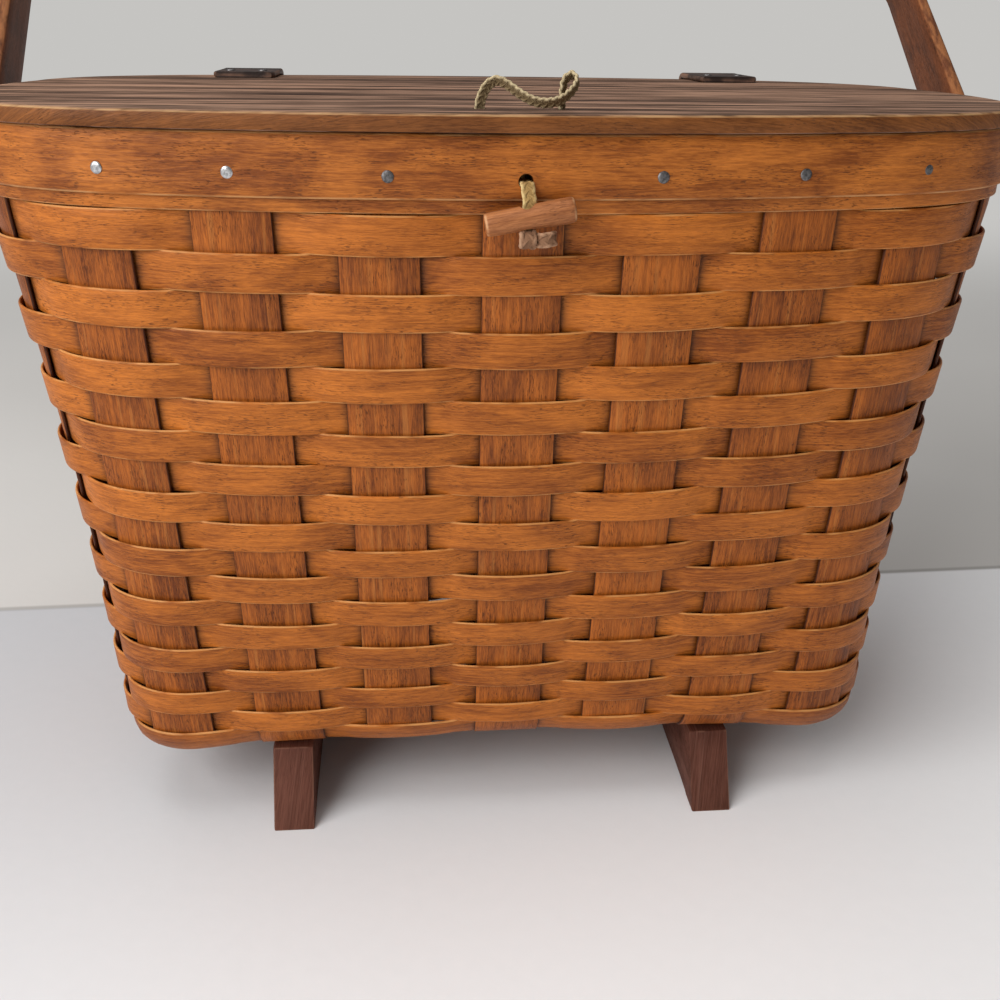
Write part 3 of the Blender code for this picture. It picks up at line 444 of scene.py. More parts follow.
def sweep(name, middle, lean, lengths, half, thick, edge, number, material, body, closed,
          replaced=(), dirt_and_shade=None):
    """middle and lean are (stations, 3 lines across, xyz): the strip's two edges and its middle."""
    shape = section(half, thick, edge)
    points, grain, wear_and_painted_light = [], [], []
    for station in range(len(middle)):
        low, centre, high = middle[station]
        for share, height, edge_mark in shape:
            bend = (low + high - 2 * centre) / 2 * share * share
            place = centre + (high - low) / 2 * share + bend
            normal = lean[station][1] + (lean[station][2] - lean[station][0]) / 2 * share
            points.append(place + normal * (height / max(np.linalg.norm(normal), 1e-9)))
            grain.append((lengths[station], share * half, number))
            # Where painted shade is given, it lowers the edge mark below 0.
            wear_and_painted_light.append(edge_mark if dirt_and_shade is None else edge_mark * (1 - dirt_and_shade[station]) - dirt_and_shade[station])
    faces = loop_faces(len(middle), len(shape), closed)
    return build(name, points, faces, grain, wear_and_painted_light, material, body, replaced)


print("points in a strip's section:", len(section(1.0, 1.0, 0.1)))

# %% [markdown]
# The wall's form is the same as in the frame. A level is a distance down the wall from the rim
# line, in metres. The profile says how far each level lies inside the rim line and below it:
# the wall tilts in, a little more towards the bottom, and bends into the floor.

# %% The wall's profile
WALL_TOP = 0.307
WALL_LENGTH = 0.266
TILT, TILT_CHANGE = math.radians(6.42), math.radians(2.24)
STEEP = TILT + TILT_CHANGE
FLOOR_BEND, FLOOR_BEND_IN_WALL_SHARE = 0.0231, 0.6
STRAIGHT = WALL_LENGTH - FLOOR_BEND * (math.pi / 2 - STEEP) * FLOOR_BEND_IN_WALL_SHARE
FLOOR_LEVEL = STRAIGHT + FLOOR_BEND * (math.pi / 2 - STEEP)


def profile(level):
    """How far a level lies inside the rim line, and below it."""
    grid = np.linspace(0.0, STRAIGHT, 60)
    tilt = TILT + TILT_CHANGE * (2 * grid / STRAIGHT - 1)
    middle = (tilt[1:] + tilt[:-1]) / 2
    inward = np.concatenate(([0.0], np.cumsum(np.sin(middle) * np.diff(grid))))
    down = np.concatenate(([0.0], np.cumsum(np.cos(middle) * np.diff(grid))))
    straight = min(max(level, 0.0), STRAIGHT)
    bend = STEEP + max(level - STRAIGHT, 0.0) / FLOOR_BEND
    inside = np.interp(straight, grid, inward) + FLOOR_BEND * (math.cos(STEEP) - math.cos(bend))
    below = np.interp(straight, grid, down) + FLOOR_BEND * (math.sin(bend) - math.sin(STEEP))
    return inside, below + min(level, 0.0)


FLOOR_HEIGHT = WALL_TOP - profile(FLOOR_LEVEL)[1]
print("the basket's floor lies", round(FLOOR_HEIGHT, 4), "m up")

# %% [markdown]
# The two ends of the basket have a slope of their own and a slight hollow at half height, and
# the bottom droops towards them, as old baskets do. One slope for all the walls would be
# simpler, but its outline against the floor would be wrong on both sides.

# %% Slope of the ends
END_TILT, END_BEND, END_HOLLOW = math.radians(7.2), 0.012, 0.0055
DROOP = 0.0094
END_BEND_TOP = FLOOR_HEIGHT - DROOP + END_BEND * (1 - math.sin(END_TILT))


def mixed(top, bottom, level):
    share = min(max(level / WALL_LENGTH, 0.0), 1.0)
    return top + (bottom - top) * share


def sag(level):
    return DROOP * min(max(level / WALL_LENGTH, 0.0), 1.0) ** 4


def end_inset(height):
    drop = WALL_TOP - min(max(height, END_BEND_TOP), WALL_TOP)
    share = drop / (WALL_TOP - END_BEND_TOP)
    straight = drop * math.tan(END_TILT) + 4 * END_HOLLOW * share * (1 - share)
    lift = min((END_BEND_TOP - height) / END_BEND, 1.0 - math.sin(END_TILT))
    if lift <= 0:
        return straight
    angle = math.asin(min(math.sin(END_TILT) + lift, 1.0))
    return straight + END_BEND * (math.cos(END_TILT) - math.cos(angle))


print("an end at half height lies inside by", round(end_inset(WALL_TOP / 2), 4))

# %% [markdown]
# Seen from above, the basket is an oblong with rounded corners and sides that bow out a little.
# A scaled circle or a bevelled box would give neither the bow nor corners that tighten towards
# the bottom, so the outline is worked out at each level. One quarter is enough: a bowed side, a
# round corner and half an end.

# %% The outline at a level
HALF_LENGTH, HALF_DEPTH = 0.2216, 0.1402
TOP_CORNER, LOW_CORNER = 0.0798, 0.0318
CORNER_DEPTH_SHARE = 0.95
TOP_BOW, LOW_BOW = 0.0137, 0.0051
TOP_END_BOW, LOW_END_BOW = 0.0056, 0.003
plans = {}


def distances(points):
    """How far along a path each of its points lies."""
    steps = np.linalg.norm(np.diff(points, axis=0), axis=1)
    return np.concatenate(([0.0], np.cumsum(steps)))


def plan(level):
    """A quarter of the outline from the front's middle to the end's middle, and its lengths."""
    if level in plans:
        return plans[level]
    inward, down = profile(level)
    half_length = HALF_LENGTH - end_inset(WALL_TOP - down - sag(level))
    half_depth = HALF_DEPTH - inward
    corner = mixed(TOP_CORNER, LOW_CORNER, level) - max(inward - profile(WALL_LENGTH)[0], 0.0)
    bow, end_bow = mixed(TOP_BOW, LOW_BOW, level), mixed(TOP_END_BOW, LOW_END_BOW, level)
    straight = half_length - corner
    slope = 2 * bow / straight
    x = np.linspace(0.0, straight, 16, endpoint=False)
    points = list(zip(x, -half_depth + bow * (x / straight) ** 2))
    for angle in np.linspace(0.0, math.pi / 2, 40):
        run = corner * math.sin(angle)
        fall = CORNER_DEPTH_SHARE * corner * (1 - math.cos(angle))
        points.append((straight + run, -half_depth + bow + fall + slope * run * (1 - math.sin(angle))))
    start = points[-1][1]
    for y in np.linspace(start, 0.0, 10)[1:]:
        points.append((half_length + end_bow * (1 - (y / start) ** 2), y))
    quarter = np.array(points)
    plans[level] = (quarter, distances(quarter))
    return plans[level]


print("perimeter at the rim:", round(4 * plan(0.0)[1][-1], 4), "m")

# %% [markdown]
# The whole outline is the quarter mirrored twice. Every splint, band and nail takes its points
# from here: it gives the ways round the outline and a level, and gets places in space.

# %% Points on the wall
def unit(vectors):
    return vectors / np.maximum(np.linalg.norm(vectors, axis=-1, keepdims=True), 1e-12)


def surface(ways, level):
    """Points of the wall for an array of ways round the outline from the front's middle."""
    quarter, lengths = plan(level)
    total = lengths[-1]
    ways = (np.asarray(ways) + 2 * total) % (4 * total) - 2 * total
    short = np.abs(ways)
    behind = short > total
    short = np.where(behind, 2 * total - short, short)
    x = np.interp(short, lengths, quarter[:, 0]) * np.where(ways < 0, -1, 1)
    y = np.interp(short, lengths, quarter[:, 1]) * np.where(behind, -1, 1)
    height = WALL_TOP - profile(level)[1] - sag(level) * np.minimum(np.abs(x) / quarter[-1, 0], 1.0) ** 2
    return np.stack([x, y + MIDDLE, height], axis=-1)


print("front's middle at the rim:", surface([0.0], 0.0).round(4))

# %% [markdown]
# A splint's place is easiest to say as a way: how far round the outline it stands. Seven
# uprights cross the front and the back, and four stand at each end, a little closer together
# towards the bottom. The hoops and the uprights both take their places from these ways.

# %% Where the uprights stand
SPLINT, UPRIGHT_THICK, WEAVER_THICK = 0.03175, 0.0016, 0.0013
FRONT_PITCH_TOP, FRONT_PITCH_LOW = 0.0554, 0.0527
END_PITCH_TOP, END_PITCH_LOW = 0.055, 0.0395
FRONT_STEPS = (-3, -2, -1, 0, 1, 2, 3)
END_STEPS = (-1.5, -0.5, 0.5, 1.5)


def upright_way(side, step, level):
    """How far round the outline an upright's middle stands at a level."""
    quarter, lengths = plan(level)
    if side == 0:
        place = step * mixed(FRONT_PITCH_TOP, FRONT_PITCH_LOW, level)
        return math.copysign(np.interp(abs(place), quarter[:, 0], lengths), place)
    place = step * mixed(END_PITCH_TOP, END_PITCH_LOW, level)
    way = np.interp(-abs(place), quarter[:, 1], lengths)
    return way if place < 0 else 2 * lengths[-1] - way


def crossing_ways(level):
    """The ways of all uprights in order round the basket, from the front's left one."""
    total = plan(level)[1][-1]
    front = [upright_way(0, step, level) for step in FRONT_STEPS]
    right = [upright_way(1, step, level) for step in END_STEPS]
    back = [2 * total - way for way in reversed(front)]
    left = [2 * total + way for way in right]
    return np.array(front + right + back + left)


CROSSINGS = len(crossing_ways(0.0))
print("crossings in a row:", CROSSINGS)

# %% [markdown]
# Nineteen rows share the wall. The upper rows are a little higher than the lower ones, and the
# lower edges are pressed up, which leaves a taller last row. Neighbours overlap by a fifth of a
# millimetre, so that no slit shows between them.

# %% Levels of the rows
ROWS = 19
ROW_OVERLAP = 0.0002
TAPER_SHARE = 0.126
PRESSED_UP = 0.0046


def row_level(row):
    share = row / ROWS
    pressed = PRESSED_UP * (row / (ROWS - 1)) ** 4 if row < ROWS else 0.0
    return WALL_LENGTH * (share + TAPER_SHARE * share * (1 - share)) - pressed


print("height of the first row", round(row_level(1), 4), "and of the last",
      round(WALL_LENGTH - row_level(ROWS - 1), 4))

# %% [markdown]
# A woven wall could be one surface with a bumpy finish, but its edges and the light between the
# strips would look flat. Here each row is a closed hoop of its own: with an even number of
# crossings it ends where it began, and the next row starts one crossing later. Three lines of
# points follow the wall, at the row's top edge, its middle and its low edge.

# %% Lines of a hoop
STEPS = 18
FIRST_CROSSING = 12


def hoop_lines(row, start):
    top, low = row_level(row) - ROW_OVERLAP / 2, row_level(row + 1) + ROW_OVERLAP / 2
    lines = []
    for level in (top, (top + low) / 2, low):
        ways = crossing_ways(level)
        total = 4 * plan(level)[1][-1]
        places = []
        for crossing in range(start, start + CROSSINGS):
            here = ways[crossing % CROSSINGS] + total * (crossing // CROSSINGS)
            after = ways[(crossing + 1) % CROSSINGS] + total * ((crossing + 1) // CROSSINGS)
            places += [here + (after - here) * step / STEPS for step in range(STEPS)]
        lines.append(surface(places, level))
    return np.stack(lines, axis=1)


def crosswise(grid):
    """The direction across a strip at its first edge, its middle and its second edge."""
    first, middle, second = grid[:, 0], grid[:, 1], grid[:, 2]
    return np.stack([middle - first, second - first, second - middle], axis=1)


print("steps round a hoop:", CROSSINGS * STEPS)

# %% [markdown]
# A hoop swings out over one upright and in behind the next. The distance off the wall is a
# cosine of the way between crossings, made blunter: the thin splint is springy, so it bows out
# in the middle of each pass and is tightest against the uprights' edges. That bow draws the
# smiling arcs in the picture, because the camera looks down on it. Behind an upright, where it
# doesn't show, a hoop is drawn a little wider, so that no light comes through.

# %% Weave the hoops
HOOP_BOW, LAST_BOW_SHARE = 0.0025, 0.7
BLUNT = 0.72
UNEVEN = 0.10
WIDER_BEHIND, WIDER_BELOW = 0.0012, 0.0010
WAVER = 0.00022
WEAVER_EDGE = 0.0008


def hoop(row):
    start = FIRST_CROSSING + row % 2
    grid = hoop_lines(row, start)
    turn = np.arange(CROSSINGS * STEPS) / STEPS
    rng = np.random.default_rng(row + 11)
    swell = 1 + UNEVEN * rng.standard_normal(CROSSINGS + 1)
    swell[CROSSINGS] = swell[0]
    strength = np.interp(turn, np.arange(CROSSINGS + 1), swell)
    swing = np.cos(math.pi * (turn + start + row))
    bow = HOOP_BOW * (1.0 if row < ROWS - 1 else LAST_BOW_SHARE)
    offsets = bow * strength * np.sign(swing) * np.abs(swing) ** BLUNT
    tangent = unit(np.roll(grid, -1, axis=0) - np.roll(grid, 1, axis=0))
    down = crosswise(grid)
    lean = unit(np.cross(unit(down), tangent))
    wider = WIDER_BEHIND + WIDER_BELOW * np.clip((row - 10) / 6, 0, 1)
    spread = unit(down[:, 1]) * (wider * np.clip(-swing, 0, 1) ** 0.5)[:, None]
    grid[:, 0] -= spread
    grid[:, 2] += spread
    grid = grid + lean * offsets[:, None, None]
    grid[:, :, 2] += (WAVER * np.sin(turn * 1.9 + row * 2.1))[:, None]
    half = np.mean(np.linalg.norm(grid[:, 2] - grid[:, 0], axis=1)) / 2
    # Painted shade: the hoop darkens in the crevice beside each upright's edge, where it dives behind it.
    painted_crevice_shade = 0.8 * np.clip((-swing - 0.38) / 0.22, 0, 1) ** 1.5
    return sweep(f"weaver_row_{row + 1:02d}", grid, lean, distances(grid[:, 1]), half, WEAVER_THICK,
                 WEAVER_EDGE, row + 1, WEAVER, "basket", True,
                 (f"weaver_{row + 1:02d}",), painted_crevice_shade)


for row in range(ROWS):
    hoop(row)
print("hoops woven:", ROWS)

# %% [markdown]
# The uprights are one strip each: down the wall, plaited across the bottom and up the other
# side. On the wall an upright follows the outline's levels, and the far wall is the near wall
# mirrored. The three lines are again the strip's two edges and its middle.

# %% Lines down a wall
UPRIGHT_TOP = -0.0288
ACROSS = (-SPLINT / 2, 0.0, SPLINT / 2)


def wall_lines(side, step, turn):
    levels = np.concatenate((np.linspace(UPRIGHT_TOP, STRAIGHT, 34),
                             np.linspace(STRAIGHT, FLOOR_LEVEL, 12)[1:]))
    rows = []
    for level in levels:
        way = upright_way(side, step, level)
        found = surface([way + offset for offset in ACROSS], level)
        if turn < 0 and side == 0:
            found[:, 1] = 2 * MIDDLE - found[:, 1]
        if turn < 0 and side == 1:
            found[:, 0] = -found[:, 0]
        rows.append(found)
    return np.array(rows)


print("steps down a wall:", len(wall_lines(0, 0, 1)))

# %% [markdown]
# Below, the uprights pass over and under each other. A plain cosine would let the flat strips
# cut into each other at the corners of a crossing, so a softened square wave keeps the two
# layers apart over the whole width of each one. It fades out before the bends into the walls.

# %% Lines across the bottom
FRONT_FLAT, FRONT_FADE = 0.083, 0.006
END_FLAT, END_FADE = 0.177, 0.0025
BOTTOM_PASS = 0.00118


def square_wave(phase):
    return np.tanh(3 * np.cos(math.pi * phase)) / math.tanh(3)


def bottom_height(x):
    half_length = plan(WALL_LENGTH)[0][-1, 0]
    return FLOOR_HEIGHT - DROOP * np.minimum(np.abs(x) / half_length, 1.0) ** 2


def bottom_lines(side, step, parity):
    """Three lines across the bottom, and how far each point is pushed down or up."""
    if side == 0:
        centres = np.array([share * END_PITCH_LOW for share in END_STEPS])
        places = np.linspace(-FRONT_FLAT, FRONT_FLAT, 50)
        x = [step * FRONT_PITCH_LOW + offset for offset in ACROSS]
        points = [[(px, place + MIDDLE, bottom_height(px)) for px in x] for place in places]
        flat, fade = FRONT_FLAT, FRONT_FADE
    else:
        centres = np.array([share * FRONT_PITCH_LOW for share in reversed(FRONT_STEPS)])
        places = np.linspace(END_FLAT, -END_FLAT, 110)
        y = [step * END_PITCH_LOW + offset + MIDDLE for offset in ACROSS]
        points = [[(place, py, bottom_height(place)) for py in y] for place in places]
        flat, fade = END_FLAT, END_FADE
    order = np.argsort(centres)
    phase = np.interp(places, centres[order], np.arange(len(centres))[order])
    still = 1 - np.clip((np.abs(places) - flat + fade) / fade, 0, 1)
    return np.array(points), -BOTTOM_PASS * square_wave(phase + parity) * still


print("steps across the bottom:", len(bottom_lines(0, 0, 0)[0]))

# %% [markdown]
# The three parts join into one strip, as the real splint is one piece. Neighbours begin with
# the opposite pass, and each strip has a number of its own, so that no two grains are alike.

# %% Uprights
UPRIGHT_EDGE = 0.0005


def upright(name, side, step, parity, number, replaced):
    near, far = wall_lines(side, step, 1), wall_lines(side, step, -1)[::-1]
    floor, push = bottom_lines(side, step, parity)
    grid = np.concatenate((near, floor, far))
    lean = unit(np.cross(unit(np.gradient(grid, axis=0)), unit(crosswise(grid))))
    offsets = np.zeros(len(grid))
    offsets[len(near):len(near) + len(floor)] = -push
    grid = grid + lean * offsets[:, None, None]
    return sweep(name, grid, lean, distances(grid[:, 1]), SPLINT / 2, UPRIGHT_THICK, UPRIGHT_EDGE,
                 number, UPRIGHT, "basket", False, (replaced,))


front_uprights = [upright(f"upright_across_{index + 1}", 0, step, index % 2, 30 + index,
                          f"upright_front_{index + 1}") for index, step in enumerate(FRONT_STEPS)]
end_uprights = [upright(f"upright_lengthwise_{index + 1}", 1, step, (index + 1) % 2, 40 + index,
                        f"upright_end_{index + 1}") for index, step in enumerate(END_STEPS)]
print("uprights made:", len(front_uprights) + len(end_uprights))

# %% [markdown]
# The lid, the rim and the peg are pierced. A hole could be modelled into each mesh, but the
# meshes are swept, so a round bar and the exact Boolean are simpler: the bar is thrown away.

# %% Bar for a hole
BAR_SIDES = 24


def hole_bar(centre, radius, length, along):
    mesh = bpy.data.meshes.new("cutter")
    work = bmesh.new()
    bmesh.ops.create_cone(work, cap_ends=True, segments=BAR_SIDES, radius1=radius, radius2=radius,
                          depth=length)
    turn = Vector((0, 0, 1)).rotation_difference(Vector(along)).to_matrix()
    bmesh.ops.transform(work, matrix=Matrix.Translation(centre) @ turn.to_4x4(), verts=work.verts)
    work.to_mesh(mesh)
    work.free()
    bar = bpy.data.objects.new("cutter", mesh)
    bpy.context.scene.collection.objects.link(bar)
    return bar


print("sides of a hole:", BAR_SIDES)

# %% [markdown]
# The cut makes new corners that know nothing of the grain, so each gets the value of a
# straight-line fit through the old corners nearest to it, and the grain runs on unbroken to the
# hole's edge.

# %% Cut a hole
def read_grain(mesh):
    grain = np.zeros(len(mesh.vertices) * 3, dtype=np.float32)
    mesh.attributes["grain"].data.foreach_get("vector", grain)
    places = np.zeros(len(mesh.vertices) * 3, dtype=np.float32)
    mesh.vertices.foreach_get("co", places)
    return places.reshape(-1, 3).astype(float), grain.reshape(-1, 3).astype(float)


def cut_hole(piece, centre, radius, length, along=(0, 0, 1), near=400):
    bar = hole_bar(centre, radius, length, along)
    cut = piece.modifiers.new("hole", "BOOLEAN")
    cut.solver = "EXACT"
    cut.object = bar
    old_places, old_grain = read_grain(piece.data)
    tree = kdtree.KDTree(len(old_places))
    for number, place in enumerate(old_places):
        tree.insert(place, number)
    tree.balance()
    graph = bpy.context.evaluated_depsgraph_get()
    solid = bpy.data.meshes.new_from_object(piece.evaluated_get(graph))
    piece.modifiers.clear()
    piece.data = solid
    bpy.data.objects.remove(bar, do_unlink=True)
    places, grain = read_grain(solid)
    for number, place in enumerate(places):
        if tree.find(place)[2] < 1e-6:
            continue
        close = [found[1] for found in tree.find_n(place, near)]
        known = np.column_stack((old_places[close] - place, np.ones(len(close))))
        grain[number] = np.linalg.lstsq(known, old_grain[close], rcond=1e-4)[0][3]
    solid.attributes["grain"].data.foreach_set("vector", grain.astype(np.float32).ravel())
    solid.set_sharp_from_angle(angle=math.radians(40))


print("hole cutter ready")

# %% [markdown]
# The rim is three bent bands held by small nails. One thick band would lack the step that shows
# below the outer one. Each is swept from the outline at the rim line, pushed out by its own
# distance, and all three and the upright behind them are pierced for the toggle's cord.

# %% Rim bands
RIM_TOP = 0.3364
TOGGLE_HOLE, TOGGLE_HOLE_RADIUS = (0.0, MIDDLE - HALF_DEPTH, 0.3197), 0.0029


def outline(grow, count=420):
    """Points round the rim line pushed out by grow, their outward directions and their ways."""
    total = 4 * plan(0.0)[1][-1]
    ways = np.linspace(0.0, total, count, endpoint=False) + total / 2
    points = surface(ways, 0.0)
    tangent = unit(np.roll(points, -1, axis=0) - np.roll(points, 1, axis=0))
    outward = np.stack([tangent[:, 1], -tangent[:, 0], np.zeros(count)], axis=1)
    return points + outward * grow, outward, ways - total / 2


def band(name, near, far, low, high, number, replaced, arris):
    centre, outward, ways = outline((near + far) / 2)
    grid = np.stack([centre, centre, centre], axis=1)
    grid[:, 0, 2], grid[:, 1, 2], grid[:, 2, 2] = high, (low + high) / 2, low
    lean = np.stack([outward] * 3, axis=1)
    return sweep(name, grid, lean, ways, (high - low) / 2, far - near, arris, number, RIM,
                 "basket", True, (replaced,))


bands = [band("rim_band_inside", -0.0042, -0.0014, 0.3095, RIM_TOP, 51, "rim_inner_band", 0.0010),
         band("rim_band_under", 0.0011, 0.0025, 0.3073, RIM_TOP, 52, "rim_under_band", 0.0006),
         band("rim_band_outside", 0.0028, 0.0050, 0.3127, RIM_TOP, 53, "rim_outer_band", 0.0010)]
for piece in (*bands, front_uprights[FRONT_STEPS.index(0)]):
    cut_hole(piece, TOGGLE_HOLE, TOGGLE_HOLE_RADIUS, 0.020, (0, 1, 0))
print("rim bands made:", len(bands))

# %% [markdown]
# The lid is one flat board. A bevelled slab would round all its edges alike, so loops of points
# run round its section instead: from the underside out over the rounded edge and in across the
# top. The edge has a finish of its own, and two holes for the closing loop are cut last.

# %% Lid board
LID_LOW, LID_TOP = 0.3368, 0.3435
LID_GROW = 0.0084
LID_NUMBER = 61.0
LID_COUNT = 300
LOOP_HALF, HOLE_Y = 0.0158, MIDDLE - 0.1201
LOOP_HOLE_RADIUS = 0.0027


def lid_board():
    rings = [(-0.012, LID_LOW, 0.0), (-0.0009, LID_LOW, 0.1), (-0.0003, LID_LOW + 0.0003, 0.3),
             (0.0, LID_LOW + 0.0010, 0.15), (0.0, LID_TOP - 0.0012, 0.15), (-0.0003, LID_TOP - 0.0004, 1.0),
             (-0.0010, LID_TOP, 0.6), (-0.0030, LID_TOP, 0.0), (-0.012, LID_TOP, 0.0)]
    points, grain, wear_and_painted_light = [], [], []
    for grow, height, edge_mark in rings:
        for x, y, _ in outline(LID_GROW + grow, LID_COUNT)[0]:
            points.append((x, y, height))
            grain.append((x, y + height, LID_NUMBER))
            wear_and_painted_light.append(edge_mark)
    faces = loop_faces(len(rings), LID_COUNT, False)
    piece = build("lid_top_board", points, faces, grain, wear_and_painted_light, LID, None)
    piece.data.materials.append(LID_EDGE)
    for face in piece.data.polygons:
        if abs(face.normal.z) < 0.8 and len(face.vertices) == 4:
            face.material_index = 1
    for turn in (-1, 1):
        cut_hole(piece, (turn * LOOP_HALF, HOLE_Y, (LID_LOW + LID_TOP) / 2), LOOP_HOLE_RADIUS, 0.011)
    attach(piece, "lid")
    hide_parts("lid_board")


lid_board()
print("lid board made, thick", round(LID_TOP - LID_LOW, 4))

# %% [markdown]
# The handle is one long band, steamed and bent. Its path is the same as in the frame: a
# straight foot at each rivet, legs that lean out, and two round bends into a flat top. It is
# drawn flat first, as a maker's pattern, and leaned back afterwards.

# %% The handle's path
REACH, FLARE, HANDLE_BEND = 0.290, 0.1335, 0.105
BAND_WIDE, FOOT_THICK, TOP_THICK = 0.0292, 0.0070, 0.0048
FOOT_INSIDE = 0.2358


def handle_path():
    """Half the band's middle line, from the rivet to the top: (out, up) from the rivets."""
    foot, straight = FOOT_INSIDE + FOOT_THICK / 2, BAND_WIDE / 2
    lean = math.atan(FLARE)
    bend_low = REACH - HANDLE_BEND * (1 + math.sin(lean))
    line = [(foot, up) for up in np.linspace(0.0, straight, 5)]
    line += [(foot + FLARE * (up - straight), up) for up in np.linspace(straight, bend_low, 16)[1:]]
    centre = line[-1][0] - HANDLE_BEND * math.cos(lean)
    height = bend_low + HANDLE_BEND * math.sin(lean)
    line += [(centre + HANDLE_BEND * math.cos(a), height + HANDLE_BEND * math.sin(a))
             for a in np.linspace(-lean, math.pi / 2, 26)[1:]]
    line += [(out, REACH) for out in np.linspace(centre, 0.0, 9)[1:]]
    return line


def handle_stations():
    """Along the band: place, outward direction, half width, thickness and distance."""
    half = handle_path()
    path = np.array(half + [(-out, up) for out, up in reversed(half[:-1])])
    run = unit(np.gradient(path, axis=0))
    normal = np.stack([run[:, 1], -run[:, 0]], axis=1)
    lengths = distances(path)
    radius = BAND_WIDE / 2
    caps = [(radius * math.cos(a), radius * math.sin(a)) for a in np.linspace(0.12, math.pi / 2, 9)[:-1]]
    stations = [((path[0][0], -drop), (1.0, 0.0), width, FOOT_THICK, -drop) for drop, width in caps]
    for place, out, length in zip(path, normal, lengths):
        share = min(max(place[1] / REACH, 0.0), 1.0)
        stations.append((place, out, radius, FOOT_THICK + (TOP_THICK - FOOT_THICK) * share, length))
    stations += [((path[-1][0], -drop), (-1.0, 0.0), width, FOOT_THICK, lengths[-1] + drop)
                 for drop, width in reversed(caps)]
    return stations


print("stations along the handle:", len(handle_stations()))

# %% [markdown]
# The band is thicker at its feet than at its top, and its feet are round, so a curve with one
# bevel can't make it. Each station gets its own section, and the loops are joined.

# %% Swing handle
PIN_Z = 0.319
LEAN_BACK = math.radians(63.0)
HANDLE_NUMBER = 71.0
HANDLE_EDGE = 0.0013


def handle_bow():
    side_way = np.array((1.0, 0.0, 0.0))
    up_way = np.array((0.0, math.sin(LEAN_BACK), math.cos(LEAN_BACK)))
    wide_way = np.array((0.0, math.cos(LEAN_BACK), -math.sin(LEAN_BACK)))
    pin = np.array((0.0, MIDDLE, PIN_Z))
    stations = handle_stations()
    points, grain, wear_and_painted_light = [], [], []
    for (out, up), (nx, nz), half_wide, thick, length in stations:
        centre = pin + side_way * out + up_way * up
        outward = side_way * nx + up_way * nz
        loop = section(half_wide, thick, min(HANDLE_EDGE, half_wide * 0.4))
        for share, height, edge_mark in loop:
            points.append(centre + wide_way * (share * half_wide) + outward * height)
            grain.append((length, share * half_wide + height * 1.7, HANDLE_NUMBER))
            wear_and_painted_light.append(edge_mark)
    faces = loop_faces(len(stations), len(loop), False)
    return build("handle_bow", points, faces, grain, wear_and_painted_light, HANDLE, "handle", ("handle",))


handle_bow()
print("handle made, reach", REACH)

# %% [markdown]
# Each leather strap is one piece in life, nailed to the lid and to the rim. Two rigid leaves
# would tear apart at the fold. Here it is one strip, built where it lies and attached to neither
# body. Its middle line runs over the lid, sinks a little at the fold and hangs down the rim.

# %% The straps' path
HINGE_Y, HINGE_Z = MIDDLE + 0.1493, 0.3468
STRAP_THICK = 0.0030
STRAP_FLAT = LID_TOP + STRAP_THICK / 2 + 0.0002 - HINGE_Z
STRAP_ROUTE = (
    (-0.0506, STRAP_FLAT), (-0.046, STRAP_FLAT), (-0.038, STRAP_FLAT), (-0.026, STRAP_FLAT),
    (-0.016, STRAP_FLAT), (-0.008, STRAP_FLAT + 0.0001), (-0.003, STRAP_FLAT + 0.0002),
    (0.0002, STRAP_FLAT - 0.0004), (0.0016, STRAP_FLAT - 0.0022), (0.0013, STRAP_FLAT - 0.0050),
    (-0.0005, -0.0140), (-0.0022, -0.0200), (-0.0026, -0.0270), (-0.0026, -0.0346),
)


def strap_path():
    """The strap's middle line as (back, up) from the fold."""
    fine = np.linspace(0, len(STRAP_ROUTE) - 1, 60)
    path = np.stack([np.interp(fine, range(len(STRAP_ROUTE)), line) for line in zip(*STRAP_ROUTE)], axis=1)
    for _ in range(3):
        path[1:-1] = (path[:-2] + path[1:-1] * 2 + path[2:]) / 4
    return path


print("length of a strap:", round(distances(strap_path())[-1], 4))

# %% [markdown]
# The part that hangs down follows the bend of the rim behind it, the part on the lid lies flat,
# and the strap's cut end is rounded at its corners. The rim's bend fades in between two heights
# below the fold.

# %% Leather straps
STRAP_PLACES = (("left", -0.132), ("right", 0.143))
STRAP_HALF = 0.0169
STRAP_NUMBER = 80.0
RIM_BACK = MIDDLE + 0.1466


def strap(side, middle):
    path = strap_path()
    run = unit(np.gradient(path, axis=0))
    normal = np.stack([-run[:, 1], run[:, 0]], axis=1)
    rim = outline(0.0050)[0]
    back = rim[rim[:, 1] > MIDDLE]
    back = back[np.argsort(back[:, 0])]
    columns = section(STRAP_HALF, STRAP_THICK, 0.0010)
    points, grain, wear_and_painted_light = [], [], []
    for place, out, length in zip(path, normal, distances(path)):
        trim = 1.0 if length > 0.004 else 0.9 + 0.1 * math.sin(length / 0.004 * math.pi / 2)
        hang = min(max((-place[1] - 0.006) / 0.012, 0.0), 1.0)
        for share, height, edge_mark in columns:
            x = middle + share * STRAP_HALF * trim
            bend = np.interp(x, back[:, 0], back[:, 1]) - RIM_BACK + 0.0004
            y = HINGE_Y + place[0] + out[0] * height + bend * hang
            points.append((x, y, HINGE_Z + place[1] + out[1] * height))
            grain.append((length, share * STRAP_HALF, STRAP_NUMBER))
            wear_and_painted_light.append(edge_mark)
    faces = loop_faces(len(path), len(columns), False)
    piece = build(f"strap_{side}", points, faces, grain, wear_and_painted_light, LEATHER, None)
    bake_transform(piece)
    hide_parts(f"strap_{side}_lid_leaf", f"strap_{side}_rim_leaf")


for side, x in STRAP_PLACES:
    strap(side, x)
print("straps made:", len(STRAP_PLACES))

# %% [markdown]
# The runners are short boards on edge. Each stands on two flat pads with a low arch between
# them, and its ends are raked. That outline is sawn from a board, so it is drawn from the side.

# %% A runner's outline
ARCH_RISE, FOOT_PAD = 0.0035, 0.014
RAKE = 0.5


